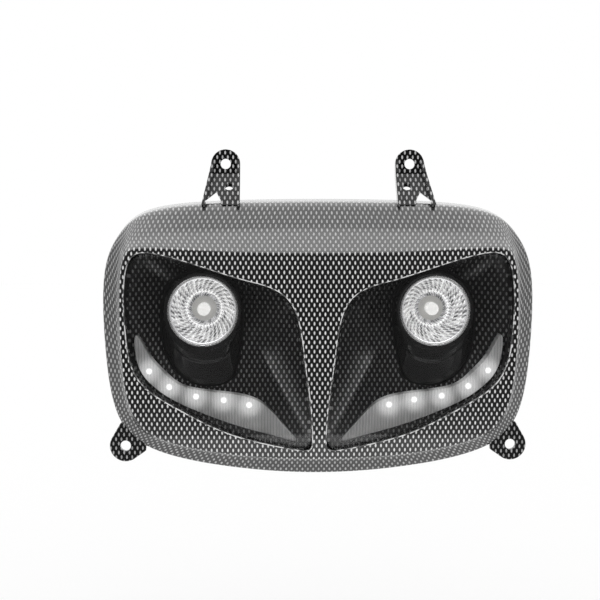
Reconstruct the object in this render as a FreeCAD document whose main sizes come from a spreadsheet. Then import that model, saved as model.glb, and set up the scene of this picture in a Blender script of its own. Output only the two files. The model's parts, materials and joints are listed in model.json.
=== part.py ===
import FreeCAD, Part
import math
import os
import Sketcher
from FreeCAD import Placement, Rotation, Vector

# Twin motorcycle headlight, seen from the front along +Y: X to the right, Z up.
# The origin is midway between the two upper bracket holes, on the rear face of their tabs,
# so everything that faces the road lies at negative Y. Lengths are in millimetres.

doc = FreeCAD.newDocument("twin_headlight")
sheet = doc.addObject("Spreadsheet::Sheet", "sizes")

# Name, value and meaning of each driving size.
SIZES = [
    ("body_width", 218.6, "widest part of the fairing, across its skirt"),
    ("body_height", 139.6, "fairing from the top of its skirt to the bottom"),
    ("body_drop", 17.8, "from the upper bracket holes down to the top of the skirt"),
    ("fairing_wall", 2.0, "moulded wall of the fairing"),
    ("skirt_forward", 5.0, "rear edge of the skirt, ahead of the bracket tabs"),
    ("rim_forward", 16.0, "outer edge of the rim flange, ahead of the tabs"),
    ("foot_forward", 21.0, "foot of the raised face, ahead of the tabs"),
    ("draft_forward", 34.0, "plane in which the raised face's front outline is drawn"),
    ("nose_forward", 32.0, "foremost point of the nose, ahead of the tabs"),
    ("crest_drop", 85.0, "height of the foremost point, below the upper holes"),
    ("face_plan_radius", 1800.0, "bow of the face from side to side"),
    ("face_side_radius", 230.0, "bow of the face from top to bottom"),
    ("rim_inset", 1.4, "draft of the skirt, from its rear edge to the rim"),
    ("rim_round", 1.8, "rounding of the rim's outer edge"),
    ("bracket_hole_spacing", 94.0, "between the upper bracket holes"),
    ("bracket_hole_diameter", 5.2, "clearance hole for an M5 screw"),
    ("bracket_tab_radius", 7.4, "rounded top of an upper bracket"),
    ("bracket_wall", 2.4, "tab and web of an upper bracket"),
    ("bracket_flange_wall", 1.7, "side flanges of an upper bracket"),
    ("bracket_flange_height", 3.4, "side flanges, measured forward of the web"),
    ("bracket_flare", 4.6, "widening of the outer side from tab to foot"),
    ("bracket_bend_drop", 6.0, "from the hole down to the bend of the web"),
    ("web_hole_diameter", 4.6, "second hole, square to the slanted web"),
    ("web_hole_drop", 12.7, "second hole, below the first"),
    ("web_hole_inset", 1.8, "second hole, nearer the middle than the first"),
    ("ear_hole_spacing", 195.6, "between the holes of the two lower ears"),
    ("ear_hole_drop", 142.6, "lower ear holes, below the upper holes"),
    ("ear_hole_diameter", 5.2, "clearance hole for an M5 screw"),
    ("ear_radius", 8.0, "rounded end of a lower ear"),
    ("ear_wall", 3.0, "thickness of a lower ear"),
    ("ear_forward", 13.0, "rear face of the lower ears, ahead of the tabs"),
    ("seal_gap", 0.1, "adhesive seal between lens, fairing and mask"),
    ("fit_gap", 0.3, "clearance between moulded pieces that slide together"),
    ("lens_wall", 1.8, "clear lens"),
    ("lens_overlap", 2.0, "lens, beyond the edge of the eye opening"),
    ("mask_wall", 1.5, "moulded wall of an inner mask"),
    ("mask_rim_inset", 0.7, "inner mask's front edge, inside the eye opening"),
    ("mask_throat_forward", 20.0, "plane where the mask starts to narrow"),
    ("aperture_forward", 17.0, "lowest point of the lamp aperture, ahead of the tabs"),
    ("aperture_tilt", 15.8, "lean of the aperture's plane, in degrees"),
    ("lamp_spacing", 116.4, "between the two lamps"),
    ("lamp_drop", 73.8, "lamp centres, below the upper holes"),
    ("lamp_forward", 21.0, "front of the lamp rims, ahead of the tabs"),
    ("lamp_diameter", 35.0, "rim of the dichroic lamp"),
    ("lamp_rim_depth", 1.8, "thickness of the lamp's rim"),
    ("lamp_rim_width", 1.6, "flat face of the lamp's rim"),
    ("bowl_wall", 1.0, "glass wall of the reflector bowl"),
    ("bowl_depth", 19.0, "reflector from rim to neck"),
    ("neck_diameter", 12.8, "opening at the bottom of the reflector"),
    ("capsule_diameter", 6.4, "halogen capsule"),
    ("capsule_length", 11.0, "halogen capsule, from its base to its tip"),
    ("base_width", 14.0, "cemented lamp base, across both pins"),
    ("base_thickness", 8.0, "cemented lamp base, across its flats"),
    ("base_length", 11.0, "cemented lamp base"),
    ("pin_spacing", 4.0, "between the two lamp pins"),
    ("pin_diameter", 0.9, "lamp pin"),
    ("pin_length", 6.0, "lamp pin, out of the base"),
    ("socket_length", 13.0, "ceramic lamp holder"),
    ("socket_margin", 1.5, "lamp holder, beyond the base on each side"),
    ("pod_wall", 1.5, "moulded wall of a lamp pod"),
    ("pod_collar_length", 4.0, "round collar that holds the lamp rim"),
    ("pod_ledge", 1.2, "ledge behind the lamp rim"),
    ("pod_flange_width", 1.8, "pod flange behind the mask, beyond the aperture"),
    ("pod_flange_wall", 1.8, "thickness of the pod flange"),
    ("ring_wire", 1.2, "wire of the snap ring in front of the lamp"),
    ("ring_opening", 2.5, "gap between the ends of the snap ring"),
    ("cover_back", 7.0, "front of a light strip cover, behind the face"),
    ("cover_wall", 1.4, "translucent wall of a strip cover"),
    ("cover_rim_forward", 13.0, "rear edge of a strip cover, ahead of the tabs"),
    ("tray_wall", 1.2, "moulded wall of a strip tray"),
    ("tray_depth", 6.0, "strip tray, from front edge to back"),
    ("board_thickness", 1.2, "circuit board of a light strip"),
    ("led_diameter", 3.2, "lens dome of one light-emitting diode"),
    ("led_body", 1.0, "straight part of a diode, under its dome"),
    ("rib_inset", 7.8, "seal rib inside the fairing, in from the skirt"),
    ("rib_width", 2.2, "seal rib"),
    ("rib_forward", 12.5, "rear edge of the seal rib, ahead of the tabs"),
    ("gasket_thickness", 1.5, "foam seal between fairing and housing"),
    ("housing_wall", 2.2, "moulded wall of the rear housing"),
    ("housing_flange_inset", 3.3, "outer edge of the housing flange, in from the skirt"),
    ("housing_inset", 8.0, "housing at its flange, in from the skirt"),
    ("housing_taper", 7.0, "further inset of the housing at its back"),
    ("housing_back", 30.0, "back of the housing, behind the tabs"),
    ("boss_inset", 5.0, "screw bosses, in from the skirt"),
    ("boss_radius", 2.2, "screw boss"),
    ("screw_diameter", 2.5, "self-tapping housing screw"),
    ("thread_gap", 0.05, "pilot hole round a housing screw, on its radius"),
    ("boss_bore", 3.5, "pilot hole in a screw boss"),
    ("screw_length", 5.5, "housing screw, under its head"),
    ("screw_head_diameter", 4.6, "head of a housing screw"),
    ("screw_head_height", 1.8, "head of a housing screw"),
    ("service_radius", 21.0, "lamp access opening in the housing"),
    ("collar_wall", 2.2, "collar round a lamp access opening"),
    ("collar_height", 6.0, "collar, out of the back of the housing"),
    ("cap_wall", 2.0, "rubber access cap"),
    ("cap_gap", 0.5, "between an access cap's edge and the housing"),
    ("cap_bevel", 1.0, "bevel round the back of an access cap"),
    ("grommet_bore", 8.0, "passage for the harness"),
    ("grommet_wall", 2.5, "rubber round the harness passage"),
    ("grommet_lip", 2.5, "grommet lips, beyond the hole in the housing"),
    ("grommet_flange", 1.5, "grommet's inner lip, along the harness"),
    ("grommet_nose", 3.5, "grommet's tapered outer lip, along the harness"),
    ("grommet_drop", 122.0, "harness grommet, below the upper holes"),
]

for row, (name, value, meaning) in enumerate(SIZES, 1):
    sheet.set(f"A{row}", meaning)
    sheet.set(f"B{row}", str(value))
    sheet.setAlias(f"B{row}", name)
doc.recompute()


def size(name):
    """Value of one driving size."""
    return float(sheet.get(name))


# Outlines are closed smooth curves given by a few control points. Each point is a share of the
# fairing's half width, outwards from the middle, and of its height, down from its top.
SKIRT = [(0, -0.001), (0.382, 0.002), (0.812, 0.019), (0.925, 0.116), (1.008, 0.234),
         (0.993, 0.564), (0.948, 0.822), (0.769, 0.930), (0.376, 0.986), (0, 1.006)]
FOOT = [(0, 0.112), (0.417, 0.121), (0.827, 0.131), (0.909, 0.154), (0.923, 0.342),
        (0.916, 0.549), (0.882, 0.814), (0.683, 0.888), (0.360, 0.931), (0, 0.943)]
FRONT = [(0, 0.246), (0.412, 0.247), (0.778, 0.234), (0.883, 0.220), (0.905, 0.345),
         (0.898, 0.549), (0.866, 0.805), (0.672, 0.875), (0.357, 0.916), (0, 0.928)]
EYE = [(0.887, 0.375), (0.885, 0.289), (0.866, 0.200), (0.776, 0.180), (0.435, 0.267),
       (0.334, 0.292), (0.098, 0.333), (0.072, 0.586), (0.040, 0.725), (0.030, 0.889),
       (0.041, 0.911), (0.203, 0.886), (0.435, 0.842), (0.649, 0.745), (0.860, 0.653),
       (0.880, 0.451)]
STRIP = [(0.824, 0.486), (0.777, 0.572), (0.702, 0.626), (0.630, 0.682), (0.425, 0.693),
         (0.263, 0.715), (0.176, 0.804), (0.065, 0.893), (0.197, 0.852), (0.351, 0.827),
         (0.656, 0.734), (0.758, 0.675), (0.835, 0.612), (0.850, 0.481)]
DIODES = [(0.778, 0.616), (0.687, 0.673), (0.565, 0.708), (0.438, 0.721), (0.322, 0.739)]
# The lamp aperture, in lamp radii from the lamp's axis, outwards and upwards.
APERTURE = [(1.30, -0.3), (1.28, 0.1), (1.15, 0.6), (0.85, 1.0), (0.1, 1.2), (-0.6, 1.05),
            (-1.05, 0.6), (-1.2, -0.1), (-1.15, -0.9), (-1.0, -1.7), (-0.85, -2.05),
            (-0.4, -2.2), (0.1, -2.2), (0.6, -2.0), (1.0, -1.6), (1.25, -0.9)]
# Where the housing screws stand along the skirt outline, as shares of the way round.
SCREW_STATIONS = [0.0, 0.14, 0.29, 0.43, 0.57, 0.71, 0.86]

half_width = size("body_width") / 2
height = size("body_height")
wall = size("fairing_wall")
lamp_radius = size("lamp_diameter") / 2
FAR = 200.0


def placed(points):
    """Control points in millimetres, from shares of the fairing's size."""
    return [(u * half_width, -size("body_drop") - w * height) for u, w in points]


def both_sides(points):
    """A half outline from top middle to bottom middle, closed by its mirror image."""
    return points + [(-x, z) for x, z in reversed(points[1:-1])]


def grown(points, distance):
    """Control polygon moved outwards by a distance, or inwards if it is negative."""
    count = len(points)
    area = sum(points[i - 1][0] * points[i][1] - points[i][0] * points[i - 1][1] for i in range(count))
    turn = 1 if area > 0 else -1
    moved = []
    for i in range(count):
        before = Vector(*points[i], 0) - Vector(*points[i - 1], 0)
        after = Vector(*points[(i + 1) % count], 0) - Vector(*points[i], 0)
        before.normalize()
        after.normalize()
        normal = Vector(before.y + after.y, -before.x - after.x, 0) * turn
        normal.normalize()
        square = abs(normal.x * before.y - normal.y * before.x)
        reach = distance / max(square, 0.45)
        moved.append((points[i][0] + normal.x * reach, points[i][1] + normal.y * reach))
    return moved


def curve(points, place):
    """Closed cubic B-spline wire through a control polygon, set in space by a function of x, z."""
    poles = [place(x, z) for x, z in points[-1:] + points[:-1]]
    spline = Part.BSplineCurve()
    count = len(poles)
    spline.buildFromPolesMultsKnots(poles, [1] * (count + 1), list(range(count + 1)), True, 3)
    return Part.Wire(spline.toShape())


def upright(forward):
    """Places a point in the upright plane at a distance ahead of the bracket tabs."""
    return lambda x, z: Vector(x, -forward, z)


def prism(points, front, back):
    """Straight block with an outline, from one distance ahead of the tabs to another."""
    face = Part.Face(curve(points, upright(front)))
    return face.extrude(Vector(0, front - back, 0))


def behind_face(depth):
    """The space behind the bowed face, moved back by a depth: an arc turned about an upright axis."""
    plan = size("face_plan_radius")
    radius = size("face_side_radius") - depth
    crest = -size("crest_drop")
    centre = Vector(0, size("face_side_radius") - size("nose_forward"), crest)
    reach = size("body_height") * 0.75
    sag = math.sqrt(radius ** 2 - reach ** 2)
    top = centre + Vector(0, -sag, reach)
    bottom = centre + Vector(0, -sag, -reach)
    arc = Part.Arc(bottom, centre + Vector(0, -radius, 0), top).toShape()
    back = [top, Vector(0, FAR, top.z), Vector(0, FAR, bottom.z), bottom]
    face = Part.Face(Part.Wire([arc] + Part.makePolygon(back).Edges))
    axis_point = Vector(0, plan - size("nose_forward"), 0)
    sweep = 1.5 * math.degrees(math.atan(size("body_width") / plan))
    face.rotate(axis_point, Vector(0, 0, 1), -sweep / 2)
    return face.revolve(axis_point, Vector(0, 0, 1), sweep)


def loft(wires):
    return Part.makeLoft(wires, True, True)


def mirrored(shape):
    return shape.mirror(Vector(0, 0, 0), Vector(1, 0, 0))


def part_feature(label, shape):
    """A sub-part whose free-form shape has no primitive or sketch that fits it."""
    feature = doc.addObject("Part::Feature", label)
    feature.Label = label
    feature.Shape = shape
    return feature


def skin(depth, tail):
    """Block bounded by the fairing's skirt, rim flange and bowed face, all set in by a depth."""
    skirt = both_sides(placed(SKIRT))
    foot = both_sides(placed(FOOT))
    front = both_sides(placed(FRONT))
    edge = size("rim_inset") + depth
    rounding = size("rim_round")
    wires = [
        curve(grown(skirt, -depth), upright(size("skirt_forward") - tail)),
        curve(grown(skirt, -edge), upright(size("rim_forward") - rounding - depth)),
        curve(grown(skirt, -edge - rounding), upright(size("rim_forward") - depth)),
        curve(grown(foot, -depth), upright(size("foot_forward") - depth)),
        curve(grown(front, -depth), upright(size("draft_forward") - depth)),
    ]
    return loft(wires).common(behind_face(depth)).Solids[0]


def one_solid(shape):
    """The single solid of a boolean's result; anything else is a modelling fault."""
    if len(shape.Solids) != 1:
        raise ValueError(f"expected one solid, got {len(shape.Solids)}")
    return shape.Solids[0]


def tube(outer_radius, inner_radius, start, axis, length):
    """Straight round tube."""
    blank = Part.makeCylinder(outer_radius, length, start, axis)
    return blank.cut(Part.makeCylinder(inner_radius, length, start, axis))


FORWARD = Vector(0, -1, 0)
REARWARD = Vector(0, 1, 0)

# Places that several pieces share.
eye = placed(EYE)
strip = placed(STRIP)
lamp_x = size("lamp_spacing") / 2
lamp_z = -size("lamp_drop")
lamp_front = -size("lamp_forward")
aperture = [(lamp_x + u * lamp_radius, lamp_z + w * lamp_radius) for u, w in APERTURE]
lean = math.tan(math.radians(size("aperture_tilt")))
lowest = lamp_z + min(w for u, w in APERTURE) * lamp_radius
lens_front = wall + size("seal_gap")
lens_back = lens_front + size("lens_wall")
mask_front = lens_back + size("seal_gap")
skirt_outline = both_sides(placed(SKIRT))


def leaning(further_back):
    """Places a point in the aperture's plane, which leans back towards the top."""
    return lambda x, z: Vector(x, -size("aperture_forward") + further_back + (z - lowest) * lean, z)


def stations():
    """Screw centres, set in from the skirt outline by a fixed distance."""
    path = curve(grown(skirt_outline, -size("boss_inset")), upright(0)).Edges[0]
    first, last = path.ParameterRange
    return [path.valueAt(first + share * (last - first)) for share in SCREW_STATIONS]


def upper_bracket():
    """Channel-section bracket on the top of the fairing, right-hand one."""
    x = size("bracket_hole_spacing") / 2
    radius = size("bracket_tab_radius")
    thick = size("bracket_wall")
    bend = -size("bracket_bend_drop")
    foot_z = -size("body_drop") - size("rim_round")
    foot_y = -size("rim_forward") + size("rim_round")
    rise = size("bracket_flange_height")
    flare = size("bracket_flare")

    def outline(inset):
        """Rounded tab whose outer side spreads towards the foot."""
        r = radius - inset
        top = Part.Arc(Vector(x - r, 0, 0), Vector(x, 0, r), Vector(x + r, 0, 0)).toShape()
        sides = [Vector(x + r, 0, 0), Vector(x + r + flare, 0, foot_z - 2),
                 Vector(x - r, 0, foot_z - 2), Vector(x - r, 0, 0)]
        face = Part.Face(Part.Wire([top] + Part.makePolygon(sides).Edges))
        face.translate(Vector(0, thick, 0))
        return face.extrude(Vector(0, -size("rim_forward") - 3 * thick, 0))

    def slab(points):
        """Side profile drawn in Y and Z, carried across the bracket."""
        ring = [Vector(x - 3 * radius, y, z) for y, z in points]
        return Part.Face(Part.makePolygon(ring + ring[:1])).extrude(Vector(6 * radius, 0, 0))

    web = slab([(0, 2 * radius), (0, bend), (foot_y + thick, foot_z), (foot_y, foot_z - 1.5),
                (foot_y - 0.6, foot_z - 1.5), (foot_y - 0.6, foot_z + 1), (-thick, bend + 0.4 * thick),
                (-thick, 2 * radius)])
    flanges = slab([(0, 0.3 * radius), (0, bend), (foot_y + thick, foot_z), (foot_y - 1.5, foot_z - 1),
                    (foot_y - 1.5, foot_z + rise), (-thick - rise, bend + 0.5 * rise),
                    (-thick, 0.3 * radius)])
    whole = outline(0)
    rim = whole.cut(outline(size("bracket_flange_wall")))
    return whole.common(web).fuse(rim.common(flanges)).removeSplitter()


def lower_ear():
    """Flat ear beside the bottom of the fairing, right-hand one."""
    x = size("ear_hole_spacing") / 2
    z = -size("ear_hole_drop")
    radius = size("ear_radius")
    back = -size("ear_forward")
    start = Vector(x, back, z)
    eye_end = Part.makeCylinder(radius, size("ear_wall"), start, FORWARD)
    lean_out = Vector(math.cos(math.radians(30)), 0, math.sin(math.radians(30)))
    lean_in = Vector(math.cos(math.radians(235)), 0, math.sin(math.radians(235)))
    outer_side = start + lean_out * radius
    lower_side = start + lean_in * radius
    up = outer_side + Vector(-0.5, 0, 1) * 0.9 * radius
    inward = lower_side + Vector(-1, 0, 0.6) * 0.8 * radius
    root = start + Vector(-1, 0, 1) * 1.3 * radius
    arm = Part.Face(Part.makePolygon([outer_side, up, root, inward, lower_side, outer_side]))
    return eye_end.fuse(arm.extrude(FORWARD * size("ear_wall"))).removeSplitter()


def fairing_blank():
    """One-piece moulding: skirt, rim flange, raised face, brackets, ears, seal rib and bosses."""
    block = skin(0, 0)
    cavity = skin(wall, 1.0)
    shell = block.cut(cavity)
    for turn in (lambda shape: shape, mirrored):
        shell = shell.cut(turn(prism(eye, size("nose_forward") + 5, size("foot_forward") - 4)))
    rib_outer = grown(skirt_outline, -size("rib_inset"))
    rib_inner = grown(skirt_outline, -size("rib_inset") - size("rib_width"))
    rib = prism(rib_outer, size("foot_forward"), size("rib_forward"))
    rib = rib.cut(prism(rib_inner, size("foot_forward") + 1, size("rib_forward") - 1))
    supports = [rib]
    boss_back = size("rib_forward") - size("gasket_thickness") + size("seal_gap")
    for point in stations():
        base = Vector(point.x, -size("foot_forward"), point.z)
        supports.append(Part.makeCylinder(size("boss_radius"), size("foot_forward") - boss_back, base, REARWARD))
    inside = skin(wall / 2, 0)
    for support in supports:
        shell = shell.fuse(support.common(inside))
    ear = lower_ear().cut(cavity)
    bracket = upper_bracket().cut(cavity)
    for addition in (bracket, mirrored(bracket), ear, mirrored(ear)):
        shell = shell.fuse(addition)
    return one_solid(shell)


def lens():
    """Clear lens that follows the bowed face and is glued behind the right-hand eye."""
    sheet_of_lens = behind_face(lens_front).cut(behind_face(lens_back))
    outline = prism(grown(eye, size("lens_overlap")), size("nose_forward") + 5, 0)
    room = skin(wall + size("fit_gap"), 0)
    return one_solid(outline.common(sheet_of_lens).common(room))


def mask():
    """Funnel behind the right-hand lens, from the eye down to the lamp aperture, with a slot."""
    rim = grown(eye, -size("mask_rim_inset"))
    throat = size("mask_throat_forward")
    thick = size("mask_wall")
    front = size("nose_forward") + 5
    outside = loft([
        curve(grown(rim, thick), upright(front)),
        curve(grown(rim, thick), upright(throat - thick)),
        curve(grown(aperture, thick), leaning(thick)),
    ])
    inside = loft([
        curve(rim, upright(front + 1)),
        curve(rim, upright(throat)),
        curve(aperture, leaning(0)),
        curve(aperture, leaning(2 * thick)),
    ])
    slot = prism(grown(strip, size("fit_gap")), front, size("cover_rim_forward") - 10)
    return one_solid(outside.common(behind_face(mask_front)).cut(inside).cut(slot))


def pod():
    """Nacelle that carries the right-hand lamp at its front and fills the mask's aperture."""
    thick = size("pod_wall")
    bore = lamp_radius + size("fit_gap")
    outside = bore + thick
    start_y = size("lamp_forward") - 0.5 * size("pod_collar_length")
    rear = size("mask_wall")
    flange_rear = rear + size("pod_flange_wall")

    def ring_points(radius):
        """Control points round the lamp axis, in the directions of the aperture's own points."""
        made = []
        for u, w in APERTURE:
            reach = math.hypot(u, w)
            made.append((lamp_x + radius * u / reach, lamp_z + radius * w / reach))
        return made

    skin_end = grown(aperture, -0.5 * thick)
    room_end = grown(aperture, -1.5 * thick)
    shell = loft([curve(ring_points(outside), upright(start_y)), curve(skin_end, leaning(rear + 0.1))])
    hollow = loft([curve(ring_points(outside - thick), upright(start_y)), curve(room_end, leaning(rear + 0.1))])
    brim = grown(aperture, size("pod_flange_width"))
    flange = loft([curve(brim, leaning(rear)), curve(brim, leaning(flange_rear))])
    flange_hole = loft([curve(room_end, leaning(rear - 0.1)), curve(room_end, leaning(flange_rear + 0.1))])
    front = Vector(lamp_x, -size("lamp_forward"), lamp_z)
    collar = Part.makeCylinder(outside, size("pod_collar_length"), front, REARWARD)
    seat = Part.makeCylinder(bore, size("lamp_rim_depth"), front, REARWARD)
    passage = Part.makeCylinder(bore - size("pod_ledge"), size("pod_collar_length"), front, REARWARD)
    body = collar.fuse(shell.cut(hollow)).fuse(flange.cut(flange_hole))
    notch = prism(grown(strip, size("fit_gap")), size("nose_forward"), size("cover_rim_forward") - 10)
    body = body.cut(seat).cut(passage).cut(notch)
    return max(body.Solids, key=lambda piece: piece.Volume)


def strip_cover():
    """Wing-shaped translucent cap of the right-hand light strip, open at the back."""
    depth = size("cover_back")
    thick = size("cover_wall")
    back = size("cover_rim_forward")
    cap = prism(strip, size("nose_forward") + 5, back).common(behind_face(depth))
    room = prism(grown(strip, -thick), size("nose_forward") + 5, back).common(behind_face(depth + thick))
    return one_solid(cap.cut(room))


def strip_tray():
    """Shallow tray behind the cover, closed at the back."""
    front = size("cover_rim_forward")
    back = front - size("tray_depth")
    thick = size("tray_wall")
    return one_solid(prism(strip, front, back).cut(prism(grown(strip, -thick), front, back + thick)))


def strip_board():
    """Circuit board on the floor of the tray."""
    floor = size("cover_rim_forward") - size("tray_depth") + size("tray_wall")
    outline = grown(strip, -size("tray_wall") - size("fit_gap"))
    return prism(outline, floor + size("board_thickness"), floor)


housing_front = size("rib_forward") - size("gasket_thickness")


def gasket():
    """Foam seal between the fairing's rib and the housing."""
    outline = grown(skirt_outline, -size("rib_inset"))
    opening = grown(skirt_outline, -size("rib_inset") - size("rib_width"))
    return prism(outline, size("rib_forward"), housing_front).cut(
        prism(opening, size("rib_forward") + 1, housing_front - 1))


def housing_tub():
    """Deep rear tub with a flange that carries the seal and the screws."""
    thick = size("housing_wall")
    inset = size("housing_inset")
    slope = size("housing_taper") / (housing_front + size("housing_back"))
    flange = prism(grown(skirt_outline, -size("housing_flange_inset")), housing_front, housing_front - thick)

    def tub(extra, front, back):
        start = curve(grown(skirt_outline, -inset - extra + slope * (front - housing_front)), upright(front))
        end = curve(grown(skirt_outline, -inset - extra - slope * (housing_front - back)), upright(back))
        return loft([start, end])

    body = flange.fuse(tub(0, housing_front, -size("housing_back")))
    return one_solid(body.cut(tub(thick, housing_front + 1, -size("housing_back") + thick)))


# Objects whose sizes and places are tied to the sheet.
def bind(item, links):
    """Ties properties of an object to formulas on the sheet."""
    for path, formula in links.items():
        item.setExpression(path, formula)
    return item


def at(x, y, z):
    """Formulas for an object's place."""
    return {"Placement.Base.x": x, "Placement.Base.y": y, "Placement.Base.z": z}


def cylinder(name, radius, length, place):
    """Cylinder that runs to the rear from its front face."""
    item = doc.addObject("Part::Cylinder", name)
    item.Placement = Placement(Vector(), Rotation(Vector(1, 0, 0), -90))
    return bind(item, {"Radius": radius, "Height": length, **place})


def joined(name, items):
    item = doc.addObject("Part::MultiFuse", name)
    item.Shapes = items
    return item


def grouped(name, items):
    item = doc.addObject("Part::Compound", name)
    item.Links = items
    return item


def cut_from(name, base, tool):
    item = doc.addObject("Part::Cut", name)
    item.Base = base
    item.Tool = tool
    item.Refine = False
    return item


def mirror_image(name, source):
    """The same piece on the other side of the middle plane."""
    item = doc.addObject("Part::Mirroring", name)
    item.Source = source
    item.Normal = (1, 0, 0)
    return item


def profile_body(name, plane_role, corners, place):
    """Body with one closed sketch, each corner tied to the sheet; returns both."""
    body = bind(doc.addObject("PartDesign::Body", name), place)
    sketch = body.newObject("Sketcher::SketchObject", f"{name}_profile")
    plane = next(item for item in body.Origin.OriginFeatures if item.Role == plane_role)
    sketch.AttachmentSupport = [(plane, "")]
    sketch.MapMode = "FlatFace"
    spots = [Vector(*(float(sheet.evalExpression(formula)) for formula in corner), 0) for corner in corners]
    count = len(spots)
    for i in range(count):
        sketch.addGeometry(Part.LineSegment(spots[i], spots[(i + 1) % count]))
    for i in range(count):
        sketch.addConstraint(Sketcher.Constraint("Coincident", i, 2, (i + 1) % count, 1))
    for i, corner in enumerate(corners):
        for kind, formula, value in zip(("DistanceX", "DistanceY"), corner, spots[i]):
            number = sketch.addConstraint(Sketcher.Constraint(kind, -1, 1, i, 1, value))
            sketch.setExpression(f"Constraints[{number}]", formula)
    return body, sketch


def turned_body(name, corners, place):
    """Body turned about an axis along Y; corners are radius and distance to the rear."""
    body, sketch = profile_body(name, "XY_Plane", corners, place)
    turn = body.newObject("PartDesign::Revolution", f"{name}_turn")
    turn.Profile = sketch
    turn.ReferenceAxis = (sketch, ["V_Axis"])
    turn.Angle = 360
    body.Tip = turn
    sketch.Visibility = False
    return body


def padded_body(name, corners, length, place):
    """Body with an upright outline, padded forwards from its back face."""
    body, sketch = profile_body(name, "XZ_Plane", corners, place)
    pad = body.newObject("PartDesign::Pad", f"{name}_pad")
    pad.Profile = sketch
    pad.setExpression("Length", length)
    body.Tip = pad
    sketch.Visibility = False
    return body


LAMP_X = "sizes.lamp_spacing / 2"
LAMP_Z = "-sizes.lamp_drop"
NECK = "-sizes.lamp_forward + sizes.bowl_depth"
BASE_BACK = f"{NECK} + sizes.base_length"


def lamp_reflector(name):
    """Dichroic glass bowl: a flat rim, a deep curve and an open neck."""
    inner = []
    for share in (0.0, 0.2, 0.4, 0.6, 0.8, 1.0):
        radius = f"sizes.neck_diameter / 2 + {share} * (sizes.lamp_diameter / 2"
        radius += " - sizes.lamp_rim_width - sizes.neck_diameter / 2)"
        inner.append((radius, f"sizes.bowl_depth * {1 - share ** 1.9}"))
    outer = [(f"{radius} + sizes.bowl_wall", depth) for radius, depth in inner[:-1]]
    rim = "sizes.lamp_diameter / 2"
    corners = inner + [(rim, "0"), (rim, "sizes.lamp_rim_depth"), (inner[-1][0], "sizes.lamp_rim_depth")]
    return turned_body(name, corners + outer[::-1], at(LAMP_X, "-sizes.lamp_forward", LAMP_Z))


def lamp_capsule(name):
    """Halogen capsule with a domed tip, standing in the neck of the bowl."""
    radius = "sizes.capsule_diameter / 2"
    tip = f"{NECK} - sizes.capsule_length + {radius}"
    stem = cylinder(f"{name}_stem", radius, f"sizes.capsule_length - {radius}", at(LAMP_X, tip, LAMP_Z))
    dome = bind(doc.addObject("Part::Sphere", f"{name}_dome"), {"Radius": radius, **at(LAMP_X, tip, LAMP_Z)})
    return joined(name, [stem, dome])


def lamp_base(name):
    """Cemented base behind the neck, with a round shoulder against the bowl."""
    shoulder = cylinder(f"{name}_shoulder", "sizes.neck_diameter / 2 + sizes.bowl_wall",
                        "sizes.base_length / 4", at(LAMP_X, NECK, LAMP_Z))
    block = bind(doc.addObject("Part::Box", f"{name}_block"), {
        "Length": "sizes.base_width",
        "Width": "sizes.base_length",
        "Height": "sizes.base_thickness",
        **at(f"{LAMP_X} - sizes.base_width / 2", NECK, f"{LAMP_Z} - sizes.base_thickness / 2"),
    })
    return joined(name, [shoulder, block])


def pin_pair(name, radius, length):
    """Two cylinders at the lamp's pins: the pins themselves, or the holes for them."""
    sides = [f"{LAMP_X} - sizes.pin_spacing / 2", f"{LAMP_X} + sizes.pin_spacing / 2"]
    return grouped(name, [cylinder(f"{name}_{i}", radius, length, at(x, BASE_BACK, LAMP_Z))
                          for i, x in enumerate(sides)])


def lamp_socket(name):
    """Ceramic lamp holder with bevelled corners, pushed onto the pins."""
    wide = "(sizes.base_width / 2 + sizes.socket_margin)"
    tall = "(sizes.base_thickness / 2 + sizes.socket_margin)"
    bevel = "sizes.socket_margin"
    corners = [(f"{wide} - {bevel}", f"-{tall}"), (wide, f"{bevel} - {tall}"), (wide, f"{tall} - {bevel}"),
               (f"{wide} - {bevel}", tall), (f"{bevel} - {wide}", tall), (f"-{wide}", f"{tall} - {bevel}"),
               (f"-{wide}", f"{bevel} - {tall}"), (f"{bevel} - {wide}", f"-{tall}")]
    block = padded_body(f"{name}_block", corners, "sizes.socket_length",
                        at(LAMP_X, f"{BASE_BACK} + sizes.socket_length", LAMP_Z))
    holes = pin_pair(f"{name}_holes", "sizes.pin_diameter / 2 + sizes.thread_gap", "sizes.pin_length + 1")
    return cut_from(name, block, holes)


def lamp_ring(name):
    """Sprung wire ring in front of the lamp's rim, open at the bottom."""
    wire = "sizes.ring_wire / 2"
    reach = f"sizes.lamp_diameter / 2 + sizes.fit_gap - {wire}"
    ring = doc.addObject("Part::Torus", f"{name}_wire")
    ring.Placement = Placement(Vector(), Rotation(Vector(1, 0, 0), -90))
    bind(ring, {"Radius1": reach, "Radius2": wire, **at(LAMP_X, f"-sizes.lamp_forward - {wire}", LAMP_Z)})
    gap = bind(doc.addObject("Part::Box", f"{name}_gap"), {
        "Length": "sizes.ring_opening",
        "Width": "4 * sizes.ring_wire",
        "Height": "4 * sizes.ring_wire",
        **at(f"{LAMP_X} - sizes.ring_opening / 2", "-sizes.lamp_forward - 2 * sizes.ring_wire",
             f"{LAMP_Z} - sizes.lamp_diameter / 2 - 2 * sizes.ring_wire"),
    })
    return cut_from(name, ring, gap)


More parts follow.
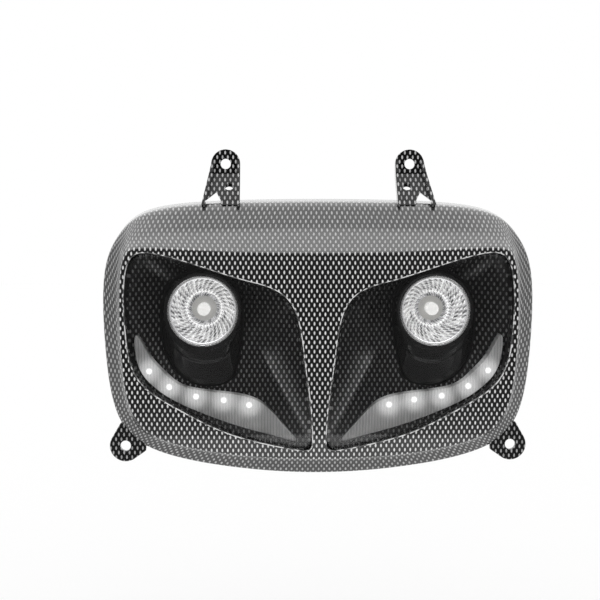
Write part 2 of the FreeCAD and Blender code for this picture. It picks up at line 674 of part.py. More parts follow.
def strip_diodes(name):
    """Five domed light-emitting diodes on the board."""
    board = "-sizes.cover_rim_forward + sizes.tray_depth - sizes.tray_wall - sizes.board_thickness"
    radius = "sizes.led_diameter / 2"
    made = []
    for i, (x, z) in enumerate(placed(DIODES)):
        stem = cylinder(f"{name}_stem_{i}", radius, "sizes.led_body", at(str(x), f"{board} - sizes.led_body", str(z)))
        dome = bind(doc.addObject("Part::Sphere", f"{name}_dome_{i}"),
                    {"Radius": radius, **at(str(x), f"{board} - sizes.led_body", str(z))})
        dome.Placement = Placement(dome.Placement.Base, Rotation(Vector(1, 0, 0), 90))
        dome.Angle1 = 0
        made.append(joined(f"{name}_{i}", [stem, dome]))
    return grouped(name, made)


def access_cap(name):
    """Rubber cap pressed over and into the access collar."""
    sleeve = "sizes.collar_height - sizes.cap_gap"
    back = f"{sleeve} + sizes.cap_wall"
    bore = "sizes.service_radius"
    collar = f"{bore} + sizes.collar_wall"
    outside = f"{collar} + sizes.cap_wall"
    corners = [("0", sleeve), (f"{bore} - sizes.cap_wall", sleeve), (f"{bore} - sizes.cap_wall", "0"), (bore, "0"),
               (bore, sleeve), (collar, sleeve), (collar, "0"), (outside, "0"), (outside, f"{back} - sizes.cap_bevel"),
               (f"{outside} - sizes.cap_bevel", back), ("0", back)]
    return turned_body(name, corners, at(LAMP_X, "sizes.housing_back + sizes.cap_gap", LAMP_Z))


def harness_grommet(name):
    """Rubber grommet that grips the edge of the harness hole."""
    bore = "sizes.grommet_bore / 2"
    neck = f"{bore} + sizes.grommet_wall"
    lip = f"{neck} + sizes.grommet_lip"
    outer = "sizes.grommet_flange + sizes.housing_wall"
    corners = [(bore, "0"), (lip, "0"), (lip, "sizes.grommet_flange"), (neck, "sizes.grommet_flange"),
               (neck, outer), (lip, outer), (neck, f"{outer} + sizes.grommet_nose"),
               (bore, f"{outer} + sizes.grommet_nose")]
    front = "sizes.housing_back - sizes.housing_wall - sizes.grommet_flange"
    return turned_body(name, corners, at("0", front, "-sizes.grommet_drop"))


def at_stations(name, radius, length, front):
    """One cylinder to each screw station."""
    return [cylinder(f"{name}_{i}", radius, length, at(str(point.x), front, str(point.z)))
            for i, point in enumerate(stations())]


def both_holes(name, spacing, diameter, front, drop):
    """A pair of straight bolt holes, one on each side of the middle plane."""
    sides = [f"sizes.{spacing} / 2", f"-sizes.{spacing} / 2"]
    return [cylinder(f"{name}_{i}", f"sizes.{diameter} / 2", "4 * sizes.ear_wall", at(x, front, drop))
            for i, x in enumerate(sides)]


def web_holes(name):
    """Second hole of each upper bracket, square to its slanted web."""
    run = size("rim_forward") - size("rim_round")
    fall = size("body_drop") + size("rim_round") - size("bracket_bend_drop")
    tilt = math.degrees(math.atan2(run, fall))
    share = (size("web_hole_drop") - size("bracket_bend_drop")) / fall
    reach = 1.5 * size("bracket_wall")
    angle = math.radians(tilt)
    middle = Vector(0, -share * run, -size("web_hole_drop"))
    front = middle - Vector(0, math.cos(angle), -math.sin(angle)) * reach
    made = []
    for i, side in enumerate(("", "-")):
        hole = doc.addObject("Part::Cylinder", f"{name}_{i}")
        hole.Placement = Placement(Vector(), Rotation(Vector(1, 0, 0), -90 - tilt))
        across = f"{side}(sizes.bracket_hole_spacing / 2 - sizes.web_hole_inset)"
        links = {"Radius": "sizes.web_hole_diameter / 2", "Height": "3 * sizes.bracket_wall"}
        made.append(bind(hole, {**links, **at(across, str(front.y), str(front.z))}))
    return made


def front_fairing(name):
    """The moulding with its bolt holes and pilot holes."""
    blank = part_feature(f"{name}_blank", fairing_blank())
    tab_front = "-2 * sizes.bracket_wall"
    ear_front = "-sizes.ear_forward - 2 * sizes.ear_wall"
    pilot = "-sizes.rib_forward + sizes.gasket_thickness - sizes.boss_bore"
    holes = both_holes(f"{name}_upper", "bracket_hole_spacing", "bracket_hole_diameter", tab_front, "0")
    holes += both_holes(f"{name}_lower", "ear_hole_spacing", "ear_hole_diameter", ear_front, "-sizes.ear_hole_drop")
    holes += web_holes(f"{name}_web")
    holes += at_stations(f"{name}_pilot", "sizes.screw_diameter / 2 + sizes.thread_gap", "2 * sizes.boss_bore", pilot)
    return cut_from(name, blank, grouped(f"{name}_holes", holes))


def rear_housing(name):
    """The tub with two lamp access collars, its screw holes and its harness hole."""
    rear = "sizes.housing_back - sizes.housing_wall"
    collar = cylinder(f"{name}_collar", "sizes.service_radius + sizes.collar_wall",
                      "sizes.collar_height + sizes.housing_wall", at(LAMP_X, rear, LAMP_Z))
    opening = cylinder(f"{name}_opening", "sizes.service_radius", "4 * sizes.collar_height",
                       at(LAMP_X, f"{rear} - sizes.housing_wall", LAMP_Z))
    harness = cylinder(f"{name}_harness", "sizes.grommet_bore / 2 + sizes.grommet_wall",
                       "4 * sizes.housing_wall", at("0", f"{rear} - sizes.housing_wall", "-sizes.grommet_drop"))
    screws = at_stations(f"{name}_screw", "sizes.screw_diameter / 2 + sizes.fit_gap", "2 * sizes.housing_wall",
                         "-sizes.rib_forward + sizes.gasket_thickness - sizes.housing_wall / 2")
    tub = part_feature(f"{name}_tub", housing_tub())
    solid = joined(f"{name}_blank", [tub, collar, mirror_image(f"{name}_collar_left", collar)])
    holes = [opening, mirror_image(f"{name}_opening_left", opening), harness] + screws
    return cut_from(name, solid, grouped(f"{name}_holes", holes))


def housing_screws(name):
    """Self-tapping screws through the housing flange into the fairing's bosses."""
    seat = "-sizes.rib_forward + sizes.gasket_thickness + sizes.housing_wall"
    shanks = at_stations(f"{name}_shank", "sizes.screw_diameter / 2", "sizes.screw_length",
                         f"{seat} - sizes.screw_length")
    heads = at_stations(f"{name}_head", "sizes.screw_head_diameter / 2", "sizes.screw_head_height", seat)
    pairs = [joined(f"{name}_{i}", list(pieces)) for i, pieces in enumerate(zip(shanks, heads))]
    return grouped(name, pairs)


nodes = [
    front_fairing("front_fairing"),
    part_feature("housing_gasket", gasket()),
    rear_housing("rear_housing"),
    housing_screws("housing_screws"),
    harness_grommet("harness_grommet"),
]
rights = [
    part_feature("lens_right", lens()),
    part_feature("inner_mask_right", mask()),
    part_feature("lamp_pod_right", pod()),
    lamp_reflector("lamp_reflector_right"),
    lamp_capsule("lamp_capsule_right"),
    lamp_base("lamp_base_right"),
    pin_pair("lamp_pins_right", "sizes.pin_diameter / 2", "sizes.pin_length"),
    lamp_socket("lamp_socket_right"),
    lamp_ring("lamp_ring_right"),
    part_feature("strip_cover_right", strip_cover()),
    part_feature("strip_tray_right", strip_tray()),
    part_feature("strip_board_right", strip_board()),
    strip_diodes("strip_diodes_right"),
    access_cap("access_cap_right"),
]
nodes += rights + [mirror_image(piece.Name.replace("right", "left"), piece) for piece in rights]
doc.recompute()

for item in doc.Objects:
    if "Invalid" in item.State or "Error" in item.State:
        raise ValueError(f"{item.Label} is {item.State}")

os.makedirs("parts", exist_ok=True)
for node in nodes:
    if node.Shape.isNull() or not node.Shape.isValid() or not node.Shape.Solids:
        raise ValueError(f"{node.Label} has no valid solid")
    node.Shape.exportStep(f"parts/{node.Label}.step")
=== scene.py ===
import json
import math

import bmesh
import bpy
import numpy as np
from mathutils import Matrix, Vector, geometry


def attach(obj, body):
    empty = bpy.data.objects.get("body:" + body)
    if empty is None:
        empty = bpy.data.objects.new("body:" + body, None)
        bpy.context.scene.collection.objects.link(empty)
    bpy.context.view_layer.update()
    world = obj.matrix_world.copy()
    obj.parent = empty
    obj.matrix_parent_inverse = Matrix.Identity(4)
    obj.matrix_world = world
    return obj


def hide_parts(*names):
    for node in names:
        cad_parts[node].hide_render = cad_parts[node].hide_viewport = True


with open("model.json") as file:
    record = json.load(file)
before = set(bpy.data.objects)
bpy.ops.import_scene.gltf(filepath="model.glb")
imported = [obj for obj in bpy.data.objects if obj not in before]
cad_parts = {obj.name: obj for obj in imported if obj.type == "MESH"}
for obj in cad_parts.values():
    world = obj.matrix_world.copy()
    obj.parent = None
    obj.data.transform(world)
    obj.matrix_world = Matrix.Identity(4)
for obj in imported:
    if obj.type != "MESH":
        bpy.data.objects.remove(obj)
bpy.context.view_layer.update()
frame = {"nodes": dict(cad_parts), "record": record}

# Front fairing: one injection moulding in black plastic with a woven print under clear coat. It runs
# from the skirt over the rim to the bowed face with its two eyes, and it carries two channel brackets
# above and two ears below, by which the lamp is bolted on.
# Outlines are control points in shares of the skirt's half width and of its height.
HALF_WIDTH = 109.3
HEIGHT = 139.6
DROP = 17.8
WALL = 2.0
SKIRT = [(0, -0.001), (0.382, 0.002), (0.812, 0.019), (0.925, 0.116), (1.008, 0.234),
         (0.993, 0.564), (0.948, 0.822), (0.769, 0.930), (0.376, 0.986), (0, 1.006)]
FOOT = [(0, 0.112), (0.417, 0.121), (0.827, 0.131), (0.909, 0.154), (0.923, 0.342),
        (0.916, 0.549), (0.882, 0.814), (0.683, 0.888), (0.360, 0.931), (0, 0.943)]
FRONT = [(0, 0.246), (0.412, 0.247), (0.778, 0.234), (0.883, 0.220), (0.905, 0.345),
         (0.898, 0.549), (0.866, 0.805), (0.672, 0.875), (0.357, 0.916), (0, 0.928)]
EYE = [(0.887, 0.375), (0.885, 0.289), (0.866, 0.200), (0.776, 0.180), (0.435, 0.267), (0.334, 0.292),
       (0.098, 0.333), (0.072, 0.586), (0.040, 0.725), (0.030, 0.889), (0.041, 0.911), (0.203, 0.886),
       (0.435, 0.842), (0.649, 0.745), (0.860, 0.653), (0.880, 0.451)]
STATIONS = 720
# Where the skirt, its shoulder, the foot of the slope and the slope's far end stand in Y.
SKIRT_REAR = -5.0
SHOULDER = -16
FOOT_FRONT = -21
LOFT_FRONT = -34
SKIRT_INSET = 0.4
SKIRT_BEND = 0.9
FACE_RING = 1.2
# Bow of the face: foremost Y and its height, and the radii in side view and in plan.
FACE_FRONT = -32
CREST_Z = -85
SIDE_RADIUS = 230
PLAN_RADIUS = 1800


def placed(points):
    """X and Z in millimetres from shares: across by the half width, down from the skirt's top."""
    return np.array([(u * HALF_WIDTH, -DROP - w * HEIGHT) for u, w in points])


def both_sides(points):
    """Control points of the right half, then those between its ends mirrored in reverse order."""
    return np.vstack([points, points[1:-1][::-1] * (-1, 1)])


def grown(points, distance):
    """Control polygon moved outwards: each point by the distance over the cosine of half its turn."""
    before = np.roll(points, 1, axis=0)
    after = np.roll(points, -1, axis=0)
    area = np.sum(points[:, 0] * after[:, 1] - after[:, 0] * points[:, 1])
    sign = 1 if area > 0 else -1

    def normal(step):
        step = step / np.linalg.norm(step, axis=1)[:, None]
        return np.stack([step[:, 1], -step[:, 0]], 1) * sign

    first = normal(points - before)
    second = normal(after - points)
    middle = first + second
    middle /= np.linalg.norm(middle, axis=1)[:, None]
    reach = distance / np.maximum(np.sum(middle * first, axis=1), 0.45)
    return points + middle * reach[:, None]


def along(poles, count):
    """Evenly spaced points of the closed uniform cubic B-spline, from the first control point on."""
    size = len(poles)
    place = np.arange(count) / count * size
    index = np.floor(place).astype(int)
    t = (place - index)[:, None]
    weights = [(1 - t) ** 3, 3 * t ** 3 - 6 * t ** 2 + 4, -3 * t ** 3 + 3 * t ** 2 + 3 * t + 1, t ** 3]
    return sum(w / 6 * poles[(index + k - 1) % size] for k, w in enumerate(weights))


def face_y(x, z, depth=0.0):
    """Y of the bowed face: an arc in side view, swept about an upright axis far behind it."""
    side = SIDE_RADIUS - depth
    profile = FACE_FRONT + depth + side - np.sqrt(side ** 2 - (z - CREST_Z) ** 2)
    axis = PLAN_RADIUS + FACE_FRONT
    return axis - np.sqrt((axis - profile) ** 2 - x ** 2)


def three(flat, y):
    """Points whose X and Z come from an outline, with one Y or a Y to each."""
    return np.stack([flat[:, 0], np.broadcast_to(y, len(flat)), flat[:, 1]], 1)


def outline_normals(flat):
    """Outward unit normals of a closed outline: square to the chord between both neighbours."""
    step = np.roll(flat, -1, axis=0) - np.roll(flat, 1, axis=0)
    step /= np.linalg.norm(step, axis=1)[:, None]
    area = np.sum(flat[:, 0] * np.roll(flat[:, 1], -1) - np.roll(flat[:, 0], -1) * flat[:, 1])
    sign = 1 if area > 0 else -1
    return np.stack([step[:, 1], -step[:, 0]], 1) * sign


def skin_profile(depth):
    """Profiles from the skirt's rear edge to the face, one to each station round the outline.

    The ridge is where the straight from foot to front meets the bowed face, found by halving.
    """
    skirt = along(grown(both_sides(placed(SKIRT)), -depth), STATIONS)
    normals = outline_normals(skirt)
    upward = np.clip(normals[:, 1], 0, 1)
    inset = (SKIRT_INSET + upward)[:, None]
    bend = (SKIRT_BEND + SKIRT_BEND * upward)[:, None]
    rings = [
        three(skirt, SKIRT_REAR),
        three(skirt - normals * inset, SHOULDER + depth + bend[:, 0]),
        three(skirt - normals * (inset + bend), SHOULDER + depth),
        three(along(grown(both_sides(placed(FOOT)), -depth), STATIONS), FOOT_FRONT + depth),
    ]
    end = three(along(grown(both_sides(placed(FRONT)), -depth), STATIONS), LOFT_FRONT + depth)
    low = np.zeros(STATIONS)
    high = np.ones(STATIONS)
    for _ in range(40):
        middle = 0.5 * (low + high)
        point = rings[-1] + (end - rings[-1]) * middle[:, None]
        outside = point[:, 1] < face_y(point[:, 0], point[:, 2], depth)
        high = np.where(outside, middle, high)
        low = np.where(outside, low, middle)
    ridge = rings[-1] + (end - rings[-1]) * low[:, None]
    flat = ridge[:, [0, 2]] - outline_normals(ridge[:, [0, 2]]) * FACE_RING
    inner = three(flat, face_y(flat[:, 0], flat[:, 1], depth))
    return rings + [ridge, inner]


def rounded(path, trims, steps=5):
    """Profiles with each inner corner replaced by a parabola that starts and ends a trim away."""
    out = [path[0]]
    for k in range(1, len(path) - 1):
        before = path[k - 1] - path[k]
        after = path[k + 1] - path[k]
        length_before = np.linalg.norm(before, axis=1)[:, None]
        length_after = np.linalg.norm(after, axis=1)[:, None]
        if trims[k] == 0:
            out.append(path[k])
            continue
        start = path[k] + before / length_before * np.minimum(trims[k], 0.48 * length_before)
        end = path[k] + after / length_after * np.minimum(trims[k], 0.48 * length_after)
        for t in np.linspace(0, 1, steps + 1):
            out.append((1 - t) ** 2 * start + 2 * t * (1 - t) * path[k] + t ** 2 * end)
    out.append(path[-1])
    return np.array(out)


def unrolled(rings, reference):
    """Print coordinates: the reference ring's own X and Z, other rings by their distance from it."""
    flat = rings[reference][:, [0, 2]]
    normals = outline_normals(flat)
    steps = np.linalg.norm(np.diff(rings, axis=0), axis=2)
    lengths = np.vstack([np.zeros(rings.shape[1]), np.cumsum(steps, axis=0)])
    reach = lengths[reference][None, :] - lengths
    return flat[None] + normals[None] * reach[:, :, None]


def half_face(boundary, eye_line, depth, rows, lip):
    """Right half of the bowed face as rings: each lies a share of the way from boundary to eye."""
    centre = np.array([0.52 * HALF_WIDTH, -DROP - 0.50 * HEIGHT])

    def angle(points):
        return np.arctan2(points[:, 1] - centre[1], points[:, 0] - centre[0])

    eye_angles = angle(eye_line)
    order = np.argsort(eye_angles)
    keys = eye_angles[order]
    normals = outline_normals(eye_line)[order]
    targets = angle(boundary)
    spots = [np.interp(targets, keys, eye_line[order][:, k], period=2 * np.pi) for k in (0, 1)]
    turned = [np.interp(targets, keys, normals[:, k], period=2 * np.pi) for k in (0, 1)]
    inner = np.stack(spots, 1)
    out = np.stack(turned, 1)
    out /= np.linalg.norm(out, axis=1)[:, None]
    start = inner + out * lip
    rings = []
    for share in np.linspace(0, 1, rows):
        flat = boundary * (1 - share) + start * share
        rings.append(three(flat, face_y(flat[:, 0], flat[:, 1], depth)))
    return rings, inner, out


def ring_faces(rings, count, start=0, closed=True, flip=False):
    """Quads between consecutive rings: a point, the next one, and the same two of the ring after."""
    faces = []
    for r in range(rings - 1):
        for k in range(count if closed else count - 1):
            a = start + r * count + k
            b = start + r * count + (k + 1) % count
            quad = (a, b, b + count, a + count)
            faces.append(quad[::-1] if flip else quad)
    return faces


def fairing_piece():
    """Closed skin of the fairing, its outer and inner sides joined at the skirt's edge and the eyes."""
    outer = rounded(skin_profile(0.0), (0, 1.6, 1.6, 2.6, 2.0, 0), 5)
    inner = rounded(skin_profile(WALL), (0, 1.0, 1.0, 1.0, 1.0, 0), 2)
    print_places = unrolled(outer, len(outer) - 1)
    vertices = [outer.reshape(-1, 3), inner.reshape(-1, 3)]
    uvs = [print_places.reshape(-1, 2), inner.reshape(-1, 3)[:, [0, 2]]]
    faces = ring_faces(len(outer), STATIONS)
    marks = [3] * (len(faces) - 4 * STATIONS) + [0] * (4 * STATIONS)
    base = len(outer) * STATIONS
    faces += ring_faces(len(inner), STATIONS, base, flip=True)
    for k in range(STATIONS):
        n = (k + 1) % STATIONS
        faces.append((k, base + k, base + n, n))
    marks += [1] * (len(faces) - len(marks))
    total = base + len(inner) * STATIONS
    quarter = STATIONS // 2
    eye_line = along(placed(EYE), 1600)
    rows = 14
    for sign in (1, -1):
        halves = []
        for layer, depth, stack in ((0, 0.0, outer), (1, WALL, inner)):
            edge = stack[-1]
            right = edge[:quarter + 1][:, [0, 2]]
            middle_z = np.linspace(right[-1, 1], right[0, 1], 110)[1:-1]
            middle = np.stack([np.zeros(len(middle_z)), middle_z], 1)
            boundary = np.vstack([right, middle])
            rings, line, out = half_face(boundary, eye_line, depth, rows, 0.5 if layer == 0 else 0.02)
            if layer == 0:
                lip = [three(line + out * 0.15, face_y(line[:, 0], line[:, 1]) + 0.15),
                       three(line, face_y(line[:, 0], line[:, 1]) + 0.5),
                       three(line, face_y(line[:, 0], line[:, 1], WALL) - 0.02)]
                rings = rings + lip
            halves.append(np.array(rings))
        for layer, rings in enumerate(halves):
            count = rings.shape[1]
            points = rings * (sign, 1, 1)
            vertices.append(points.reshape(-1, 3))
            uvs.append(points.reshape(-1, 3)[:, [0, 2]])
            faces += ring_faces(len(rings), count, total, flip=(sign == 1) == (layer == 1))
            if layer == 0:
                # The eye's lip rings take mark 2, the painted edge highlight.
                marks += [0] * ((len(rings) - 4) * count) + [2] * (2 * count)
            marks += [1] * (len(faces) - len(marks))
            if layer == 0:
                last_outer = total + (len(rings) - 1) * count
            else:
                last_inner = total + (len(rings) - 1) * count
            total += rings.shape[0] * count
        count = halves[0].shape[1]
        for k in range(count):
            n = (k + 1) % count
            quad = (last_outer + k, last_outer + n, last_inner + n, last_inner + k)
            faces.append(quad if sign == 1 else quad[::-1])
        marks += [1] * (len(faces) - len(marks))
    return np.vstack(vertices), faces, np.vstack(uvs), marks


def hex_to_linear(code):
    """Linear colour from an sRGB hex code: a straight foot, then the power 2.4."""
    parts = [int(code[i:i + 2], 16) / 255 for i in (1, 3, 5)]
    return [p / 12.92 if p <= 0.04045 else ((p + 0.055) / 1.055) ** 2.4 for p in parts] + [1.0]


def add_node(material, kind, inputs=None, **settings):
    """One shader node; inputs map names or numbers to values or to other nodes' sockets."""
    node = material.node_tree.nodes.new(kind)
    for key, value in settings.items():
        setattr(node, key, value)
    for key, value in (inputs or {}).items():
        if isinstance(value, bpy.types.NodeSocket):
            material.node_tree.links.new(value, node.inputs[key])
        else:
            node.inputs[key].default_value = value
    return node


def new_material(name):
    """Empty material with its output and one principled shader."""
    material = bpy.data.materials.new(name)
    material.use_nodes = True
    material.node_tree.nodes.clear()
    shader = add_node(material, "ShaderNodeBsdfPrincipled")
    output = add_node(material, "ShaderNodeOutputMaterial", {"Surface": shader.outputs[0]})
    output.name = "Material Output"
    return material, shader


def print_material(name, base, dot, dot_share, roughness, lift=None):
    """Clear-coated print: upright oval dots in rows, every second row moved by half a pitch.

    A second UV map, named by lift, may raise the tone of both ground and dots, as a painted highlight.
    """
    material, shader = new_material(name)
    pitch = 2.7
    row = 2.3
    narrowing = 0.47
    edge = 1.12
    core = 0.72
    spread = 0.25
    uv = add_node(material, "ShaderNodeUVMap", uv_map="print")
    parts = add_node(material, "ShaderNodeSeparateXYZ", {0: uv.outputs[0]})

    def maths(operation, *values):
        inputs = dict(enumerate(values))
        return add_node(material, "ShaderNodeMath", inputs, operation=operation).outputs[0]

    rows = maths("DIVIDE", parts.outputs[1], row)
    row_number = maths("FLOOR", rows)
    shift = maths("MULTIPLY", maths("MODULO", row_number, 2.0), 0.5)
    columns = maths("ADD", maths("DIVIDE", parts.outputs[0], pitch), shift)
    column_number = maths("FLOOR", columns)
    across = maths("MULTIPLY", maths("SUBTRACT", maths("FRACT", columns), 0.5), pitch / narrowing)
    upward = maths("MULTIPLY", maths("SUBTRACT", maths("FRACT", rows), 0.5), row)
    distance = maths("SQRT", maths("ADD", maths("POWER", across, 2.0), maths("POWER", upward, 2.0)))
    soft = add_node(material, "ShaderNodeMapRange", {0: distance, 1: edge, 2: core, 3: 0.0, 4: 1.0},
                    interpolation_type="SMOOTHSTEP").outputs[0]
    cell = add_node(material, "ShaderNodeCombineXYZ", {0: column_number, 1: row_number})
    random = add_node(material, "ShaderNodeTexWhiteNoise", {0: cell.outputs[0]}, noise_dimensions="2D")
    level = maths("MULTIPLY_ADD", random.outputs[0], spread, dot_share - 0.12)
    strength = maths("MULTIPLY", soft, level)
    low = hex_to_linear(base)
    high = hex_to_linear(dot)
    # Painted highlight: the lift map lightens the ground towards grey and the dots towards white.
    if lift:
        painted_highlight_map = add_node(material, "ShaderNodeUVMap", uv_map=lift).outputs[0]
        share = add_node(material, "ShaderNodeSeparateXYZ", {0: painted_highlight_map}).outputs[0]
        low = add_node(material, "ShaderNodeMix", {0: share, 6: low, 7: hex_to_linear("#606060")},
                       data_type="RGBA").outputs[2]
        high = add_node(material, "ShaderNodeMix", {0: share, 6: high, 7: hex_to_linear("#ffffff")},
                        data_type="RGBA").outputs[2]
    colour = add_node(material, "ShaderNodeMix", {0: strength, 6: low, 7: high}, data_type="RGBA")
    material.node_tree.links.new(colour.outputs[2], shader.inputs["Base Color"])
    shader.inputs["Roughness"].default_value = roughness
    shader.inputs["Coat Weight"].default_value = 1.0
    shader.inputs["Coat Roughness"].default_value = 0.04
    return material


def plain_material(name, colour, roughness, metallic=0.0, coat=0.0, grain=0.6, depth=0.02):
    """Moulded or plated finish: noise of the grain's size varies its roughness and lifts its surface."""
    material, shader = new_material(name)
    coords = add_node(material, "ShaderNodeTexCoord")
    noise = add_node(material, "ShaderNodeTexNoise",
                     {"Vector": coords.outputs["Object"], "Scale": 1000 / grain, "Detail": 3.0})
    spread = add_node(material, "ShaderNodeMapRange",
                      {0: noise.outputs[0], 1: 0.3, 2: 0.7, 3: roughness * 0.8, 4: roughness * 1.25})
    bump = add_node(material, "ShaderNodeBump",
                    {"Height": noise.outputs[0], "Strength": 1.0, "Distance": depth * 0.001})
    material.node_tree.links.new(spread.outputs[0], shader.inputs["Roughness"])
    material.node_tree.links.new(bump.outputs[0], shader.inputs["Normal"])
    shader.inputs["Base Color"].default_value = hex_to_linear(colour)
    shader.inputs["Metallic"].default_value = metallic
    shader.inputs["Coat Weight"].default_value = coat
    shader.inputs["Coat Roughness"].default_value = 0.03
    return material


def edge_highlight_material():
    """Painted highlight on the eyes' edges: noise round its middle value switches between dark and bright
    dashes.
    """
    material, shader = new_material("painted eye edge highlight")
    coords = add_node(material, "ShaderNodeTexCoord")
    dashes = add_node(material, "ShaderNodeTexNoise",
                      {"Vector": coords.outputs["Object"], "Scale": 420.0, "Detail": 0.0})
    share = add_node(material, "ShaderNodeMapRange", {0: dashes.outputs[0], 1: 0.42, 2: 0.58})
    colour = add_node(material, "ShaderNodeMix", {0: share.outputs[0], 6: hex_to_linear("#4a4a4a"),
                                                  7: hex_to_linear("#dcdcdc")}, data_type="RGBA")
    material.node_tree.links.new(colour.outputs[2], shader.inputs["Base Color"])
    shader.inputs["Roughness"].default_value = 0.15
    shader.inputs["Coat Weight"].default_value = 1.0
    return material


# Moulding: black ground with pale oval dots, which gives the wet, woven look from any side.
fairing_print = print_material("printed clear-coated plastic", "#131313", "#e2e2e2", 0.9, 0.35)
# Rim and ears: the same print with greyer dots, which paint shade onto them.
rim_print_painted_shade = print_material("printed rim with painted shade", "#151515", "#adadad", 0.88, 0.35)
# Brackets: the same print with hardly any gloss, its darker ground and dots painted shade.
bracket_print_painted_shade = print_material("printed bracket plastic", "#101010", "#c4c4c4", 0.85, 0.4)
for name, value in (("Specular IOR Level", 0.15), ("Coat Weight", 0.15)):
    bracket_print_painted_shade.node_tree.nodes["Principled BSDF"].inputs[name].default_value = value
# Inner walls: unprinted black with a fine moulded grain.
bare_black = plain_material("bare moulded black plastic", "#1c1c1c", 0.45, grain=0.5, depth=0.03)
# Edges of the eyes: a painted highlight, a thin bright line broken into dashes.
painted_edge_highlight = edge_highlight_material()
BRACKET_X = 47.0
EAR_X = 97.8
EAR_Z = -142.6
BOLT_RADIUS = 2.6
WEB_HOLE_RADIUS = 2.3
WEB_HOLE = (45.2, -7.0, -12.7)
WEB_NORMAL = (0, -0.69, 0.72)
EAR_FRONT = -16.0
EAR_REAR = -13.0


def make_mesh(name, vertices, faces, material, smooth=True, uv=None, others=(), marks=None):
    """Object at the origin, its vertices a thousandth of the millimetres; marks number face materials."""
    mesh = bpy.data.meshes.new(name)
    mesh.from_pydata((np.asarray(vertices) * 0.001).tolist(), [], faces)
    if uv is not None:
        layer = mesh.uv_layers.new(name="print")
        loops = np.zeros(len(mesh.loops), dtype=int)
        mesh.loops.foreach_get("vertex_index", loops)
        layer.data.foreach_set("uv", np.asarray(uv)[loops].ravel())
    mesh.polygons.foreach_set("use_smooth", [smooth] * len(mesh.polygons))
    mesh.materials.append(material)
    for other in others:
        mesh.materials.append(other)
    if marks is not None:
        mesh.polygons.foreach_set("material_index", marks)
    mesh.update()
    thing = bpy.data.objects.new(name, mesh)
    bpy.context.scene.collection.objects.link(thing)
    return thing


def slices_to_mesh(slices):
    """Stack of equal closed slices joined by quads, with one flat face on each end."""
    count = slices.shape[1]
    faces = ring_faces(len(slices), count)
    last = (len(slices) - 1) * count
    faces += [tuple(range(count)), tuple(range(last + count - 1, last - 1, -1))]
    return slices.reshape(-1, 3), faces


def bracket_slices():
    """Level slices of the right-hand bracket: a half circle on top, then a web with side flanges.

    Below the bend the web comes forward in proportion to the drop.
    """
    x = BRACKET_X
    radius = 7.4
    wall = 2.4
    side = 1.7
    bend = -6.0
    foot = np.array([-14.2, -19.6])
    head = radius * np.sin(np.linspace(np.pi / 2 - 0.02, 0, 14))
    web = np.linspace(-0.8, foot[1] - 1.2, 30)
    levels = list(head) + list(web)
    slices = []
    for z in levels:
        half = math.sqrt(max(radius ** 2 - z ** 2, 0)) if z > 0 else radius
        left = x - half
        right = x + half + (4.6 * -z / (2 - foot[1]) if z < 0 else 0)
        slant = max(0.0, bend - z) * foot[0] / (bend - foot[1]) * 0.83
        lean = max(0.0, bend + 0.96 - z) * foot[0] / (bend - foot[1]) * 0.83
        back = slant
        front = min(-wall + lean, back - 0.4)
        grow = min(1.0, max(0.0, (2.2 - z) / 6.5))
        tip = front - 3.4 * grow
        slices.append([(left, back), (right, back), (right, tip), (max(right - side, x), tip),
                       (max(right - side, x), front), (min(left + side, x), front),
                       (min(left + side, x), tip), (left, tip)])
    slices = np.array(slices)
    stack = np.empty((len(levels), 8, 3))
    stack[:, :, 0] = slices[:, :, 0]
    stack[:, :, 1] = slices[:, :, 1]
    stack[:, :, 2] = np.array(levels)[:, None]
    return stack


def ear_outline():
    """Right-hand lower ear: an arc about its hole and two straight sides that run into the fairing."""
    centre = np.array([EAR_X, EAR_Z])
    radius = 8.0
    turn = np.radians(np.linspace(235, 390, 60))
    arc = centre + radius * np.stack([np.cos(turn), np.sin(turn)], 1)
    up = arc[-1] + np.array([-0.5, 0.866]) * 9.0
    root = centre + np.array([-11.0, 11.0])
    inward = arc[0] + np.array([-0.819, 0.574]) * 7.0
    return np.vstack([arc, up, root, inward])


def round_cutter(centre, axis, radius, length):
    """Cylinder about an axis, half its length each way from a point; it only cuts."""
    axis = Vector(axis).normalized()
    turn = axis.to_track_quat("Z", "Y")
    angles = np.arange(48) / 48 * 2 * np.pi
    rings = []
    for end in (-0.5, 0.5):
        ring = [Vector(centre) + turn @ Vector((radius * math.cos(a), radius * math.sin(a), end * length))
                for a in angles]
        rings.append([tuple(v) for v in ring])
    spots, faces = slices_to_mesh(np.array(rings))
    return make_mesh("cutter", spots, faces, fairing_print)


def prism_cutter(flat, front, back):
    """Straight prism along Y with an outline, between two depths; it only cuts."""
    slices = np.array([three(flat, front), three(flat, back)])
    return make_mesh("cutter", *slices_to_mesh(slices), fairing_print)


def outward(thing, merge=2e-5):
    """Merges points that lie closer than a distance in metres and turns all faces outwards."""
    tool = bmesh.new()
    tool.from_mesh(thing.data)
    bmesh.ops.remove_doubles(tool, verts=tool.verts, dist=merge)
    bmesh.ops.recalc_face_normals(tool, faces=tool.faces)
    tool.to_mesh(thing.data)
    tool.free()


def baked(thing):
    """Replaces a piece's mesh by what its modifiers make of it."""
    bpy.context.view_layer.update()
    graph = bpy.context.evaluated_depsgraph_get()
    mesh = bpy.data.meshes.new_from_object(thing.evaluated_get(graph))
    thing.modifiers.clear()
    thing.data = mesh


def cut_with(thing, cutters):
    """Takes the cutters' solids out of a piece and removes the cutters."""
    for cutter in cutters:
        outward(cutter)
        change = thing.modifiers.new("cut", "BOOLEAN")
        change.operation = "DIFFERENCE"
        change.solver = "EXACT"
        change.object = cutter
    baked(thing)
    for cutter in cutters:
        bpy.data.objects.remove(cutter)


